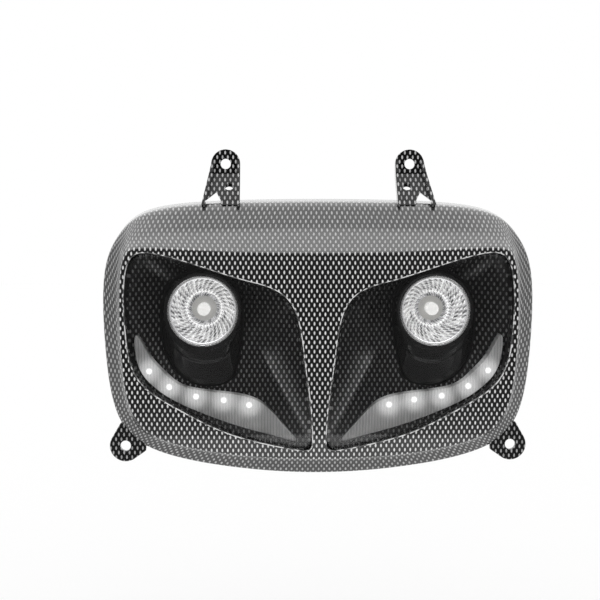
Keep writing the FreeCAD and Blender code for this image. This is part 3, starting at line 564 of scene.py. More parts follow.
def softened(thing, width, angle=35):
    """Bevels each edge sharper than an angle by a width in millimetres, in two steps."""
    change = thing.modifiers.new("edge", "BEVEL")
    change.width = width * 0.001
    change.segments = 2
    change.limit_method = "ANGLE"
    change.angle_limit = math.radians(angle)
    change.harden_normals = True
    baked(thing)


def wrapped_print(thing):
    """Lays the print onto each face along the axis its normal leans to most; front counts 2.5 times."""
    mesh = thing.data
    layer = mesh.uv_layers.get("print") or mesh.uv_layers.new(name="print")
    places = np.zeros(len(mesh.vertices) * 3)
    mesh.vertices.foreach_get("co", places)
    loops = np.zeros(len(mesh.loops), dtype=int)
    mesh.loops.foreach_get("vertex_index", loops)
    spots = places.reshape(-1, 3)[loops] * 1000
    normals = np.zeros(len(mesh.polygons) * 3)
    mesh.polygons.foreach_get("normal", normals)
    totals = np.zeros(len(mesh.polygons), dtype=int)
    mesh.polygons.foreach_get("loop_total", totals)
    slope = np.abs(normals.reshape(-1, 3)) * (1, 2.5, 1)
    way = np.repeat(np.argmax(slope, axis=1), totals)
    first = np.where(way == 0, spots[:, 1], spots[:, 0])
    second = np.where(way == 2, spots[:, 1], spots[:, 2])
    layer.data.foreach_set("uv", np.stack([first, second], 1).ravel())


def mirrored_piece(thing, name):
    """Copy of a piece with the sign of X changed and its faces turned back outwards."""
    mesh = thing.data.copy()
    mesh.name = name
    places = np.zeros(len(mesh.vertices) * 3)
    mesh.vertices.foreach_get("co", places)
    places[0::3] *= -1
    mesh.vertices.foreach_set("co", places)
    mesh.flip_normals()
    mesh.update()
    copy = bpy.data.objects.new(name, mesh)
    bpy.context.scene.collection.objects.link(copy)
    return copy


def fairing_additions():
    """Brackets and ears: each right one is cut, softened and printed, then mirrored."""
    bracket = make_mesh("bracket", *slices_to_mesh(bracket_slices()), bracket_print_painted_shade)
    outward(bracket)
    window = np.array([(51.5, -14.6), (57.0, -18.9), (56.0, -21.5), (49.0, -21.5), (49.3, -18.4)])
    cut_with(bracket, [
        round_cutter((BRACKET_X, 0, 0), (0, 1, 0), BOLT_RADIUS, 30),
        round_cutter(WEB_HOLE, WEB_NORMAL, WEB_HOLE_RADIUS, 9),
        prism_cutter(window, -30, 0),
    ])
    softened(bracket, 0.35)
    # Side walls take the rim's print, with its painted shade, and its full coat.
    bracket.data.materials.append(rim_print_painted_shade)
    wall_lean = np.zeros(len(bracket.data.polygons) * 3)
    bracket.data.polygons.foreach_get("normal", wall_lean)
    bracket.data.polygons.foreach_set("material_index", (np.abs(wall_lean[1::3]) < 0.6).astype(int))
    outline = ear_outline()
    plate_slices = np.array([three(outline, EAR_FRONT), three(outline, EAR_REAR)])
    ear = make_mesh("ear", *slices_to_mesh(plate_slices), rim_print_painted_shade)
    outward(ear)
    cut_with(ear, [round_cutter((EAR_X, -14.5, EAR_Z), (0, 1, 0), BOLT_RADIUS, 12)])
    softened(ear, 0.4)
    made = []
    for thing in (bracket, ear):
        wrapped_print(thing)
        made += [thing, mirrored_piece(thing, thing.name + " left")]
    return made


def merged(target, others):
    """Joins other objects' meshes into a target piece."""
    bpy.ops.object.select_all(action="DESELECT")
    for other in others:
        other.select_set(True)
    target.select_set(True)
    bpy.context.view_layer.objects.active = target
    bpy.ops.object.join()


spots, faces, uvs, marks = fairing_piece()
# Finishes by mark: bare inner black, the eye lip's painted highlight, and the rim's print with painted shade.
fairing_finishes = (bare_black, painted_edge_highlight, rim_print_painted_shade)
fairing = make_mesh("fairing", spots, faces, fairing_print, uv=uvs, others=fairing_finishes, marks=marks)
outward(fairing)
merged(fairing, fairing_additions())
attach(fairing, "root")
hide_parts("front_fairing")

# Lenses: injection moulded clear plastic sheets that follow the bowed face, one behind each eye.
# They are glued to the fairing's inner side round the opening.
LENS_OVERLAP = 1.6
LENS_FRONT = 0.1
LENS_BACK = 1.9


def clear_material(name, tint, haze=0.0, painted_glow=0.0):
    """Clear plastic or glass; haze is the share of light that it scatters, the last argument a painted white
    glow, and shadows pass through it.
    """
    material, shader = new_material(name)
    shader.inputs["Base Color"].default_value = hex_to_linear(tint)
    shader.inputs["Roughness"].default_value = 0.0
    shader.inputs["IOR"].default_value = 1.49
    shader.inputs["Transmission Weight"].default_value = 1.0 - haze
    shader.inputs["Emission Color"].default_value = hex_to_linear("#ffffff")
    shader.inputs["Emission Strength"].default_value = painted_glow
    passed = 0.95
    path = add_node(material, "ShaderNodeLightPath")
    open_way = add_node(material, "ShaderNodeBsdfTransparent", {0: (passed, passed, passed, 1.0)})
    mixed = add_node(material, "ShaderNodeMixShader",
                     {0: path.outputs["Is Shadow Ray"], 1: shader.outputs[0], 2: open_way.outputs[0]})
    output = material.node_tree.nodes["Material Output"]
    material.node_tree.links.new(mixed.outputs[0], output.inputs["Surface"])
    return material


def disc_faces(rings, count, start):
    """Fan from a centre vertex to the first ring, then quads."""
    faces = [(start, start + 1 + k, start + 1 + (k + 1) % count) for k in range(count)]
    return faces + ring_faces(rings, count, start + 1)


def plate(outline, front_depth, back_depth, rings=14):
    """Curved sheet between two depths behind the face: its outline shrunk in even steps to its middle."""
    centre = outline.mean(axis=0)
    vertices = []
    faces = []
    count = len(outline)
    for depth in (front_depth, back_depth):
        start = len(vertices)
        flats = [centre[None]] + [centre + (outline - centre) * s for s in np.linspace(0, 1, rings + 1)[1:]]
        for flat in flats:
            vertices += three(flat, face_y(flat[:, 0], flat[:, 1], depth)).tolist()
        layer = disc_faces(rings, count, start)
        faces += layer if depth == front_depth else [f[::-1] for f in layer]
    half = 1 + rings * count
    for k in range(count):
        n = (k + 1) % count
        faces.append((half - count + n, half - count + k, 2 * half - count + k, 2 * half - count + n))
    return np.array(vertices), faces


def pair(right, node):
    """Registers a right-hand piece and its mirror image for the frame's two nodes."""
    left = mirrored_piece(right, right.name.replace("right", "left"))
    for thing, side in ((right, "right"), (left, "left")):
        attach(thing, "root")
        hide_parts(f"{node}_{side}")
    return left


# Clear lens plastic: colourless, with a sharp gloss that shows the bow of the face.
lens_plastic = clear_material("clear lens plastic", "#fcfcfc")
spots, faces = plate(along(grown(placed(EYE), LENS_OVERLAP), 400), WALL + LENS_FRONT, WALL + LENS_BACK)
lens = make_mesh("clear_lens_right", spots, faces, lens_plastic)
outward(lens)
pair(lens, "lens")

# Inner masks: moulded black plastic funnels with the fairing's print, from the eye's edge down to the
# lamp's aperture, with a slot for the light strip. They are bonded behind the lens.
LAMP_X = 58.2
LAMP_Z = -73.8
LAMP_RADIUS = 17.5
# Aperture round the lamp, in lamp radii from the lamp's axis, in a plane that leans back.
APERTURE = [(1.30, -0.3), (1.28, 0.1), (1.15, 0.6), (0.85, 1.0), (0.1, 1.2), (-0.6, 1.05),
            (-1.05, 0.6), (-1.2, -0.1), (-1.15, -0.9), (-1.0, -1.7), (-0.85, -2.05), (-0.4, -2.2),
            (0.1, -2.2), (0.6, -2.0), (1.0, -1.6), (1.25, -0.9)]
STRIP = [(0.824, 0.486), (0.777, 0.572), (0.702, 0.626), (0.630, 0.682), (0.425, 0.693),
         (0.263, 0.715), (0.176, 0.804), (0.065, 0.893), (0.197, 0.852), (0.351, 0.827),
         (0.656, 0.734), (0.758, 0.675), (0.835, 0.612), (0.850, 0.481)]
TILT = math.tan(math.radians(15.8))
LOWEST = LAMP_Z - 2.2 * LAMP_RADIUS
MASK_WALL = 1.5
MASK_STATIONS = 480
FUNNEL_ROWS = 44
MASK_INSET = -0.7
MASK_TOP = 2.0
FUNNEL_START = -20.0
APERTURE_FRONT = -17
SLOT_GAP = 0.3
# Faces that turn away from the front by more than this are left unprinted.
STEEP = 0.27
# Heights in metres between which the mask's coat goes from weak to strong.
COAT_LOW = -0.064
COAT_HIGH = -0.056
# Stiffening creases of the funnel: both ends, how wide they fall away on either side, and height.
CREASES = [((29.5, -93.0), (3.0, -141.0), 11.0, 1.6, 3.0), ((88.0, -48.0), (68.0, -64.0), 4.0, 4.0, 2.4)]
aperture = np.array([(LAMP_X + u * LAMP_RADIUS, LAMP_Z + w * LAMP_RADIUS) for u, w in APERTURE])
strip_line = placed(STRIP)


def leaning(flat, further_back=0.0):
    """Points in the aperture's plane: Y grows with the height over its lowest point by the tilt."""
    return three(flat, APERTURE_FRONT + further_back + (flat[:, 1] - LOWEST) * TILT)


def crease_shares(flat):
    """Height share of each crease at points in X and Z: full on its line, nothing at its edges."""
    shares = []
    for start, end, above, below, height in CREASES:
        way = np.subtract(end, start)
        length = np.linalg.norm(way)
        way = way / length
        along_line = (flat - start) @ way
        off_line = (flat - start) @ np.array([way[1], -way[0]])
        side = np.where(off_line > 0, 1 - off_line / above, 1 + off_line / below)
        ends = np.clip(along_line / 8, 0, 1) * np.clip((length + 4 - along_line) / 4, 0, 1)
        shares.append(np.maximum(0, side) * ends)
    return shares


def mask_rings(extra, back):
    """Rings down the collar and straight to the aperture; creases rise by the root of a sine of the way."""
    rim = along(grown(placed(EYE), MASK_INSET + extra), MASK_STATIONS)
    hole = along(grown(aperture, extra), MASK_STATIONS)
    first = three(rim, face_y(rim[:, 0], rim[:, 1], WALL + MASK_TOP))
    corner = three(rim, FUNNEL_START + back)
    last = leaning(hole, back)
    path = rounded(np.array([first, corner, last]), (0, 1.2, 0), 4)
    funnel = []
    for s in np.linspace(0, 1, FUNNEL_ROWS + 1)[1:]:
        ring = path[-2] + (path[-1] - path[-2]) * s
        for crease, share in zip(CREASES, crease_shares(ring[:, [0, 2]])):
            ring[:, 1] -= crease[-1] * share ** 1.3 * math.sin(math.pi * s) ** 0.5
        funnel.append(ring)
    return np.concatenate([path[:-1], funnel])


def shell_faces(front, back):
    """Quads of two equal stacks of rings joined along their first and last rings."""
    count = front.shape[1]
    rows = len(front)
    faces = ring_faces(rows, count)
    faces += ring_faces(rows, count, rows * count, flip=True)
    for k in range(count):
        n = (k + 1) % count
        faces.append((k, rows * count + k, rows * count + n, n))
        a = (rows - 1) * count
        faces.append((a + n, rows * count + a + n, rows * count + a + k, a + k))
    return np.vstack([front.reshape(-1, 3), back.reshape(-1, 3)]), faces


# Mask print: nearly black with dull dots, painted shade so that the funnel sinks back; a painted highlight
# lightens it along its creases.
mask_print_painted_shade = print_material("printed mask plastic", "#080808", "#8f8f8f", 0.85, 0.4, lift="crease")
mask_shader = mask_print_painted_shade.node_tree.nodes["Principled BSDF"]
mask_shader.inputs["Specular IOR Level"].default_value = 0.1
mask_coords = add_node(mask_print_painted_shade, "ShaderNodeTexCoord")
mask_height = add_node(mask_print_painted_shade, "ShaderNodeSeparateXYZ", {0: mask_coords.outputs["Object"]})
mask_gloss = add_node(mask_print_painted_shade, "ShaderNodeMapRange",
                      {0: mask_height.outputs[2], 1: COAT_LOW, 2: COAT_HIGH, 3: 0.12, 4: 0.25})
mask_print_painted_shade.node_tree.links.new(mask_gloss.outputs[0], mask_shader.inputs["Coat Weight"])
front_rings = mask_rings(0.0, 0.0)
spots, faces = shell_faces(front_rings, mask_rings(MASK_WALL, MASK_WALL))
mask = make_mesh("printed_mask_right", spots, faces, mask_print_painted_shade, uv=spots[:, [0, 2]])
# Painted highlight along the creases: the crease map's first value lightens ground and dots.
lift = np.max(crease_shares(spots[:, [0, 2]]), axis=0) ** 1.3
crease_highlight_layer = mask.data.uv_layers.new(name="crease")
corners = np.zeros(len(mask.data.loops), dtype=int)
mask.data.loops.foreach_get("vertex_index", corners)
crease_highlight_layer.data.foreach_set("uv", np.stack([lift[corners], 0 * lift[corners]], 1).ravel())
outward(mask)
cut_with(mask, [prism_cutter(along(grown(strip_line, SLOT_GAP), 200), -40, 10)])
wrapped_print(mask)
mask.data.materials.append(bare_black)
mask_lean = np.zeros(len(mask.data.polygons) * 3)
mask.data.polygons.foreach_get("normal", mask_lean)
mask.data.polygons.foreach_set("material_index", (np.abs(mask_lean[1::3]) < STEEP).astype(int))
pair(mask, "inner_mask")

# Lamp pods: gloss black plastic nacelles, moulded in one piece, that carry the lamps. Each fills its
# mask's aperture from behind and ends in front in a round collar with a small step.
POD_STEP = 0.9
POD_WALL = 1.5
POD_INSET = -0.75
LAMP_GAP = 0.3


def circle(radius, reference):
    """Points at a radius from the lamp's axis, each in the direction of a reference point."""
    middle = np.array([LAMP_X, LAMP_Z])
    reach = reference - middle
    return middle + reach / np.linalg.norm(reach, axis=1)[:, None] * radius


def pod_rings(extra):
    """Rings from the collar's lip straight to the nacelle's rear edge, the first third stepped forward."""
    count = 360
    radius = LAMP_RADIUS + LAMP_GAP + POD_WALL
    edge = along(grown(aperture, POD_INSET + extra), count)
    reference = along(aperture, count)
    round_line = circle(radius + extra, reference)
    lip, foot = (-21.0, -19.0) if extra == 0 else (-19.2, -18.5)
    path = np.array([three(round_line, lip), three(round_line, foot), leaning(edge, MASK_WALL)])
    path = rounded(path, (0, 1.0, 0), 4)
    shell = []
    for s in np.linspace(0, 1, 31)[1:]:
        ring = path[-2] + (path[-1] - path[-2]) * s
        ring[:, 1] -= POD_STEP * np.clip((0.34 - s) / 0.03, 0, 1) * np.clip(s / 0.1, 0, 1)
        shell.append(ring)
    return np.concatenate([path[:-1], shell])


# Polished black plastic: deep black that shows the room only as soft, dim shapes.
pod_black = plain_material("polished black plastic", "#0b0b0b", 0.12, coat=0.55, grain=4.0, depth=0.0)
pod_black.node_tree.nodes["Principled BSDF"].inputs["Specular IOR Level"].default_value = 0.1
spots, faces = shell_faces(pod_rings(0.0), pod_rings(-POD_WALL))
pod = make_mesh("lamp_nacelle_right", spots, faces, pod_black)
outward(pod)
pair(pod, "lamp_pod")

# Reflectors: pressed glass bowls with a hammered mirror coating, turned about the lamp's axis.
# Each sits in its pod's collar and is held there by a snap ring.
LAMP_FRONT = -21.0
DIMPLES = 36
DIMPLE_ROWS = 7
DIMPLE_DEPTH = 0.42


def painted_mirror_material():
    """Bright mirror coat over pressed glass: each point's groove value, painted shade with a chance tone,
    mixes from silver to grey, and a painted glow of that colour adds to it.
    """
    material, shader = new_material("hammered mirror coat")
    stroke = add_node(material, "ShaderNodeAttribute", attribute_name="groove")
    colour = add_node(material, "ShaderNodeMix", {0: stroke.outputs["Fac"], 6: hex_to_linear("#fbfbfc"),
                                                  7: hex_to_linear("#434446")}, data_type="RGBA")
    material.node_tree.links.new(colour.outputs[2], shader.inputs["Base Color"])
    material.node_tree.links.new(colour.outputs[2], shader.inputs["Emission Color"])
    # Painted glow: the coat gives out a little light in its own colour.
    shader.inputs["Emission Strength"].default_value = 0.26
    shader.inputs["Metallic"].default_value = 1.0
    shader.inputs["Roughness"].default_value = 0.08
    return material


def turned_ring(radius, depth, count, lift=0.0):
    """Circle about the lamp's axis; a lift moves it inwards and, by 0.6 of that, forwards."""
    turn = np.arange(count) / count * 2 * np.pi
    return np.stack([LAMP_X + (radius - lift) * np.cos(turn),
                     LAMP_FRONT + depth - 0.6 * lift + 0 * turn,
                     LAMP_Z + (radius - lift) * np.sin(turn)], 1)


def bowl():
    """Bowl from rim to neck and its plain back: rows of domed pads that swirl inwards.

    A pad stands out by a cosine across and along it, and each has its own chance tone; painted shade darkens
    the groove lines and the neck.
    """
    count = DIMPLES * 12
    rows = DIMPLE_ROWS * 9
    neck = 6.4
    mouth = 15.9
    turn = np.arange(count) / count * 2 * np.pi
    chance = np.random.default_rng(4).random((DIMPLE_ROWS + 1, DIMPLES))
    rings = [turned_ring(radius, depth, count) for radius, depth in
             ((17.5, 1.8), (17.5, 0.25), (17.3, 0.0), (16.1, 0.0))]
    groove_shade_and_tone = [np.zeros(count)] * len(rings)
    for k in range(rows + 1):
        s = k / rows
        radius = mouth + (neck - mouth) * s
        depth = 0.3 + 18.7 * (1 - ((radius - neck) / (mouth - neck)) ** 1.9)
        row = min(int(DIMPLE_ROWS * s), DIMPLE_ROWS - 1)
        place = (turn + 0.9 * s) / (2 * np.pi) * DIMPLES + 0.5 * (row % 2)
        across = place % 1 - 0.5
        inward = DIMPLE_ROWS * s - row - 0.5
        pad = np.cos(np.pi * across) * (0.45 + 0.55 * math.cos(np.pi * inward))
        rings.append(turned_ring(radius, depth, count, DIMPLE_DEPTH * pad * (0 if k in (0, rows) else 1)))
        wild = chance[row, np.floor(place).astype(int) % DIMPLES]
        # Painted shade: pad edges darken, each by a chance strength, and the bowl darkens towards its neck;
        # each pad also has its own chance tone.
        stroke = np.clip((np.abs(across) - 0.2) / 0.2, 0, 1) * np.clip(1.8 * wild - 0.4, 0, 1)
        groove_shade_and_tone.append(np.clip(0.8 * stroke + 0.3 * wild + 0.3 * s * s, 0, 1))
    back = ((neck + 1, 19.0), (neck + 2.2, 17.5), (neck + 6.5, 12.4), (mouth - 0.1, 4.5), (mouth, 1.8))
    for radius, depth in back:
        rings.append(turned_ring(radius, depth, count))
        groove_shade_and_tone.append(np.zeros(count))
    rings = np.array(rings)
    faces = ring_faces(len(rings), count)
    last = (len(rings) - 1) * count
    faces += [(last + k, last + (k + 1) % count, (k + 1) % count, k) for k in range(count)]
    return rings.reshape(-1, 3), faces, np.concatenate(groove_shade_and_tone)


# Hammered mirror coat: bright silver pads, painted shade on the groove lines between them and towards the
# neck, and a painted glow.
mirror_coat_painted_light = painted_mirror_material()
spots, faces, groove_shade_and_tone = bowl()
reflector = make_mesh("mirror_bowl_right", spots, faces, mirror_coat_painted_light)
reflector.data.attributes.new("groove", "FLOAT", "POINT").data.foreach_set("value", groove_shade_and_tone)
outward(reflector)
pair(reflector, "lamp_reflector")

# Strip covers: injection moulded wings in translucent white plastic with fine upright flutes.
# Each is pressed through its mask's slot over five lit diodes.
DIODES = [(0.778, 0.616), (0.687, 0.673), (0.565, 0.708), (0.438, 0.721), (0.322, 0.739)]
# Flute spacing and wall in metres, depth of the front behind the face, and Y of the skirt's end.
FLUTE = 0.0015
COVER_WALL = 0.0012
COVER_DEPTH = 7.0
COVER_BACK = -13.0


def cover_material():
    """Translucent white plastic: a sine of X makes the flutes and paints shade along them, and a painted glow
    of diode light fades with the way to a diode.
    """
    material, shader = new_material("fluted translucent plastic")
    coords = add_node(material, "ShaderNodeTexCoord")
    parts = add_node(material, "ShaderNodeSeparateXYZ", {0: coords.outputs["Object"]})
    across = add_node(material, "ShaderNodeMath", {0: parts.outputs[0]}, operation="ABSOLUTE").outputs[0]
    place = add_node(material, "ShaderNodeCombineXYZ", {0: across, 2: parts.outputs[2]})
    core_edge, core_end = 0.0006, 0.0020
    halo_edge, halo_end, halo_level = 0.001, 0.0095, 0.42
    # Painted light: each diode's light is painted onto the cover as a glow, a core and a halo.
    glow = None
    for x, z in placed(DIODES) * 0.001:
        gap = add_node(material, "ShaderNodeVectorMath", {0: place.outputs[0], 1: (x, 0, z)},
                       operation="DISTANCE").outputs["Value"]
        core = add_node(material, "ShaderNodeMapRange", {0: gap, 1: core_edge, 2: core_end, 3: 1.0, 4: 0.0},
                        interpolation_type="SMOOTHSTEP").outputs[0]
        halo = add_node(material, "ShaderNodeMapRange",
                        {0: gap, 1: halo_edge, 2: halo_end, 3: halo_level, 4: 0.0},
                        interpolation_type="SMOOTHERSTEP").outputs[0]
        both = add_node(material, "ShaderNodeMath", {0: core, 1: halo}, operation="ADD").outputs[0]
        glow = both if glow is None else add_node(material, "ShaderNodeMath", {0: glow, 1: both},
                                                  operation="ADD").outputs[0]
    wave = add_node(material, "ShaderNodeMath", {0: parts.outputs[0], 1: 2 * math.pi / FLUTE},
                    operation="MULTIPLY").outputs[0]
    flute = add_node(material, "ShaderNodeMath", {0: wave}, operation="SINE").outputs[0]
    bump = add_node(material, "ShaderNodeBump", {"Height": flute, "Strength": 0.5, "Distance": 0.0003})
    uneven = add_node(material, "ShaderNodeTexNoise", {"Vector": coords.outputs["Object"], "Scale": 60.0})
    # Painted shade along the flutes: their sine lightens and darkens the colour, with noise for uneven tone.
    tone = add_node(material, "ShaderNodeMath", {0: flute, 1: 0.2, 2: uneven.outputs[0]},
                    operation="MULTIPLY_ADD").outputs[0]
    shade = add_node(material, "ShaderNodeMapRange", {0: tone, 1: 0.0, 2: 1.0}).outputs[0]
    colour = add_node(material, "ShaderNodeMix", {0: shade, 6: hex_to_linear("#a6a6a6"),
                                                  7: hex_to_linear("#ececec")}, data_type="RGBA")
    material.node_tree.links.new(colour.outputs[2], shader.inputs["Base Color"])
    material.node_tree.links.new(bump.outputs[0], shader.inputs["Normal"])
    material.node_tree.links.new(glow, shader.inputs["Emission Strength"])
    shader.inputs["Emission Color"].default_value = hex_to_linear("#ffffff")
    shader.inputs["Roughness"].default_value = 0.3
    shader.inputs["Coat Weight"].default_value = 0.6
    shader.inputs["Coat Roughness"].default_value = 0.05
    return material


def wing(flat, depth, back):
    """Cap: a triangle net within the outline, at a depth behind the face, and a straight skirt."""
    spots_2d = [Vector((float(x), float(z))) for x, z in flat]
    low = flat.min(axis=0)
    high = flat.max(axis=0)
    grid = [Vector((x, z)) for x in np.arange(low[0], high[0], 1.5) for z in np.arange(low[1], high[1], 1.5)]
    count = len(flat)
    edges = [(k, (k + 1) % count) for k in range(count)]
    points, _, faces, _, _, _ = geometry.delaunay_2d_cdt(spots_2d + grid, edges, [], 1, 1e-6)
    flat_all = np.array([(p.x, p.y) for p in points])
    inside = three(flat_all, face_y(flat_all[:, 0], flat_all[:, 1], depth))
    vertices = list(inside)
    start = len(vertices)
    vertices += list(three(flat_all[:count], back))
    sides = [(k, (k + 1) % count, start + (k + 1) % count, start + k) for k in range(count)]
    return np.array(vertices), [tuple(f) for f in faces] + sides


# Fluted translucent plastic: milky grey with painted shade along its fine lines and five spots of painted
# diode glow.
cover_white = cover_material()
cover_line = along(strip_line, 260)
spots, faces = wing(cover_line, COVER_DEPTH, COVER_BACK)
cover = make_mesh("fluted_cover_right", spots, faces, cover_white)
outward(cover)
wall_change = cover.modifiers.new("wall", "SOLIDIFY")
wall_change.thickness = COVER_WALL
wall_change.offset = -1
baked(cover)
softened(cover, 0.5, 50)
# Clear rim: a painted highlight, a near white line round the wing where its edge is rounded.
cover_rim_highlight = plain_material("clear rim with painted highlight", "#f4f4f4", 0.15, coat=1.0)
cover.data.materials.append(cover_rim_highlight)
lean_of_faces = np.zeros(len(cover.data.polygons) * 3)
cover.data.polygons.foreach_get("normal", lean_of_faces)
lean_of_faces = np.abs(lean_of_faces[1::3])
edge_faces = (lean_of_faces > 0.2) & (lean_of_faces < 0.9)
cover.data.polygons.foreach_set("material_index", edge_faces.astype(int))
pair(cover, "strip_cover")

# Housing screws: seven zinc plated steel self-tapping screws with domed heads and cross recesses,
# driven through the housing flange into the fairing's bosses.
SCREW_HEAD = 2.3
SCREW_SHANK = 1.25
SCREW_SEAT = -8.8
SCREW_TIP = -14.3
SCREW_TOP = -7.0
RECESS_ARM = 1.35
RECESS_HALF = 0.36
RECESS_DEPTH = 0.9


def screw_places():
    """Middle of each screw in X and Z: that of the box round the frame's points that lie together."""
    mesh = frame["nodes"]["housing_screws"].data
    flat = np.zeros(len(mesh.vertices) * 3)
    mesh.vertices.foreach_get("co", flat)
    rest = flat.reshape(-1, 3)[:, [0, 2]] * 1000
    places = []
    while len(rest):
        near = np.linalg.norm(rest - rest[0], axis=1) < 4 * SCREW_HEAD
        places.append(0.5 * (rest[near].min(axis=0) + rest[near].max(axis=0)))
        rest = rest[~near]
    return places


def screw():
    """Profile from the tip to the domed head, a quarter sine, with its cross pressed in to a depth."""
    count = 64
    turn = np.arange(count) / count * 2 * np.pi
    dome = np.linspace(0, 1, 12)
    radii = np.concatenate([[0.0, SCREW_SHANK, SCREW_SHANK, SCREW_HEAD, SCREW_HEAD],
                            SCREW_HEAD * (1 - dome[1:])])
    backs = np.concatenate([[SCREW_TIP, SCREW_TIP + 1.2, SCREW_SEAT, SCREW_SEAT, SCREW_SEAT + 0.9],
                            SCREW_SEAT + 0.9 + (SCREW_TOP - SCREW_SEAT - 0.9) * np.sin(dome[1:] * np.pi / 2)])
    x = radii[:, None] * np.cos(turn)
    z = radii[:, None] * np.sin(turn)
    y = np.broadcast_to(backs[:, None], x.shape).copy()
    arm = (np.minimum(np.abs(x), np.abs(z)) < RECESS_HALF) & (np.maximum(np.abs(x), np.abs(z)) < RECESS_ARM)
    y[5:][arm[5:]] -= RECESS_DEPTH
    faces = ring_faces(len(radii), count)
    return np.stack([x, y, z], 2).reshape(-1, 3), faces


# Bright zinc plate: pale, slightly uneven metal.
plated_steel = plain_material("bright zinc plated steel", "#a4a4a0", 0.3, metallic=1.0, grain=0.4)
screw_spots, screw_faces = screw()
screw_copies = [screw_spots + (x, 0, z) for x, z in screw_places()]
screw_quads = [tuple(v + k * len(screw_spots) for v in quad)
               for k in range(len(screw_copies)) for quad in screw_faces]
screws = make_mesh("cross_head_screws", np.vstack(screw_copies), screw_quads, plated_steel)
outward(screws)
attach(screws, "root")
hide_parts("housing_screws")

# Housing gasket: a die cut ring of black foam rubber, squeezed between the fairing and the housing.
# The pieces from here on keep the frame's own solids and only take their material.


def finish(slot, material):
    """Gives a material to every node of the frame whose material slot has this name."""
    for part in frame["record"]["subparts"]:
        if part["material_slot"] == slot:
            for place in frame["nodes"][part["node"]].material_slots:
                place.material = material


# Foam rubber: dull, dark and finely pitted.
finish("seal_foam", plain_material("black foam rubber", "#1d1d1d", 0.9, grain=0.7, depth=0.15))

# Rear housing: a deep tub moulded in black plastic, which closes the lamp at the back and is
# screwed to the fairing. Its grain breaks up the light into a satin sheen.
grained_black = plain_material("grained black plastic", "#232323", 0.42, grain=0.7, depth=0.03)
finish("housing_plastic", grained_black)

# Access caps and harness grommet: moulded black rubber, pressed on by hand over the collars and
# into the harness hole. It is soft black with a slightly uneven skin.
finish("black_rubber", plain_material("black rubber", "#171717", 0.55, grain=0.8, depth=0.03))

# Lamp capsules: blown clear glass bulbs, pinched at the foot and cemented into the lamp's base.
# A little haze and a painted glow, which stands in for their highlight, let them show against the mirror.
finish("capsule_glass", clear_material("clear capsule glass", "#ffffff", haze=0.5, painted_glow=0.3))

# Lamp bases: white cement, cast round the capsule's foot in the bowl's neck, where it sets hard.
# It looks dry and chalky.
finish("lamp_ceramic", plain_material("lamp cement", "#e9e8e4", 0.8, grain=0.5, depth=0.08))

# Lamp sockets: blocks of pressed and fired white ceramic, pushed onto the lamp's pins from behind.
# They look dense and matt.
finish("socket_ceramic", plain_material("white ceramic", "#dddad2", 0.6))

# Lamp pins: drawn and plated wire, two to a lamp, cast into its base and gripped by the socket.
# They look smooth and bright.
finish("pin_metal", plain_material("plated pin metal", "#b8b6b0", 0.3, metallic=1.0))

# Lamp rings: bent spring wire, snapped into the pod to hold the reflector in its seat.
# A thin bright line of polished metal.
finish("ring_steel", plain_material("bright spring wire", "#c8c8c8", 0.25, metallic=1.0))

# Strip trays: moulded white plastic shells behind the covers, which carry the boards.
# Their plain white throws the diodes' light forwards.
finish("tray_plastic", plain_material("white tray plastic", "#e0e0e0", 0.5))

# Strip boards: white laminate, cut to the strip's outline and laid into the tray.
# Flat and satin, as behind any lit cover.
finish("board_laminate", plain_material("white circuit board", "#e4e4e0", 0.5))

# Diodes: five white resin domes to a strip, soldered to the board.
# Smooth and bright, since the cover's painted glow stands in front of each.
finish("diode_resin", plain_material("diode resin", "#ffffff", 0.2))

# Studio: an even white room over a pale floor. Gloss also sees a dark flag in front of the object,
# so that the clear coat stays black where it faces the front and turns bright above and beside.
FLAG_WIDTH = 1.5
FLAG_HEIGHT = 0.55
FLAG_EDGE = (0.7, 2.6)
LIGHT_START = 0.35
LIGHT_FULL = 0.8
LIGHT_LEVEL = 1.6
SEEN_THROUGH = 0.2
world = bpy.data.worlds.new("studio")
bpy.context.scene.world = world
world.use_nodes = True
world.node_tree.nodes.clear()


def room_maths(operation, *values):
    """One number node of the room, with its inputs in order."""
    return add_node(world, "ShaderNodeMath", dict(enumerate(values)), operation=operation).outputs[0]


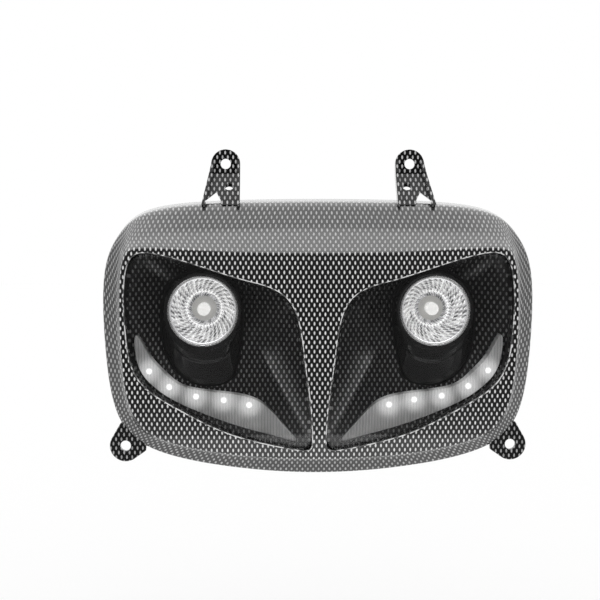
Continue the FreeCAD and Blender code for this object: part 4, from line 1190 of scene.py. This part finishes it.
direction = add_node(world, "ShaderNodeTexCoord").outputs["Generated"]
parts = add_node(world, "ShaderNodeSeparateXYZ", {0: direction}).outputs
ahead = room_maths("MAXIMUM", room_maths("MULTIPLY", parts[1], -1.0), 0.001)
beside = room_maths("DIVIDE", room_maths("ABSOLUTE", room_maths("DIVIDE", parts[0], ahead)), FLAG_WIDTH)
above = room_maths("DIVIDE", room_maths("ABSOLUTE", room_maths("DIVIDE", parts[2], ahead)), FLAG_HEIGHT)
off_flag = room_maths("MAXIMUM", beside, above)
flag = add_node(world, "ShaderNodeMapRange", {0: off_flag, 1: FLAG_EDGE[0], 2: FLAG_EDGE[1], 3: 1.0, 4: 0.0},
                interpolation_type="SMOOTHSTEP").outputs[0]
ray = add_node(world, "ShaderNodeLightPath").outputs
through = room_maths("MULTIPLY", ray["Is Transmission Ray"], SEEN_THROUGH)
seen = room_maths("MAXIMUM", ray["Is Camera Ray"], through)
gloss = room_maths("MULTIPLY", ray["Is Glossy Ray"], room_maths("SUBTRACT", 1.0, seen))
overhead = add_node(world, "ShaderNodeMapRange",
                    {0: parts[2], 1: LIGHT_START, 2: LIGHT_FULL, 3: 0.0, 4: LIGHT_LEVEL},
                    interpolation_type="SMOOTHSTEP").outputs[0]
level = room_maths("MULTIPLY_ADD", gloss, room_maths("SUBTRACT", overhead, flag), 1.0)
room = add_node(world, "ShaderNodeBackground", {0: hex_to_linear("#ffffff"), 1: level})
add_node(world, "ShaderNodeOutputWorld", {0: room.outputs[0]})

# Floor: matt white board under and behind the object, which ends short of the camera.
FLOOR = -300
FLOOR_FRONT = -250
FLOOR_REACH = 4000
floor_finish, floor_shader = new_material("matt white floor paint")
floor_shader.inputs["Base Color"].default_value = hex_to_linear("#ffffff")
floor_shader.inputs["Roughness"].default_value = 1.0
floor_shader.inputs["Specular IOR Level"].default_value = 0.0
floor_corners = [(-FLOOR_REACH, FLOOR_FRONT, FLOOR), (FLOOR_REACH, FLOOR_FRONT, FLOOR),
                 (FLOOR_REACH, FLOOR_REACH, FLOOR), (-FLOOR_REACH, FLOOR_REACH, FLOOR)]
floor = make_mesh("floor", floor_corners, [(0, 1, 2, 3)], floor_finish, smooth=False)

# Camera: in front and a little above, with the lens that the photograph's perspective gives.
FOCAL_PIXELS = 1360
PICTURE_PIXELS = 600
camera_data = bpy.data.cameras.new("camera")
camera = bpy.data.objects.new("camera", camera_data)
bpy.context.scene.collection.objects.link(camera)
camera.location = (-0.027, -0.700, -0.020)
camera.rotation_euler = (math.radians(90 - 4.07), 0, math.radians(-1.47))
camera_data.sensor_width = 36
camera_data.lens = camera_data.sensor_width * FOCAL_PIXELS / PICTURE_PIXELS
bpy.context.scene.camera = camera
bpy.context.scene.view_settings.view_transform = "Standard"
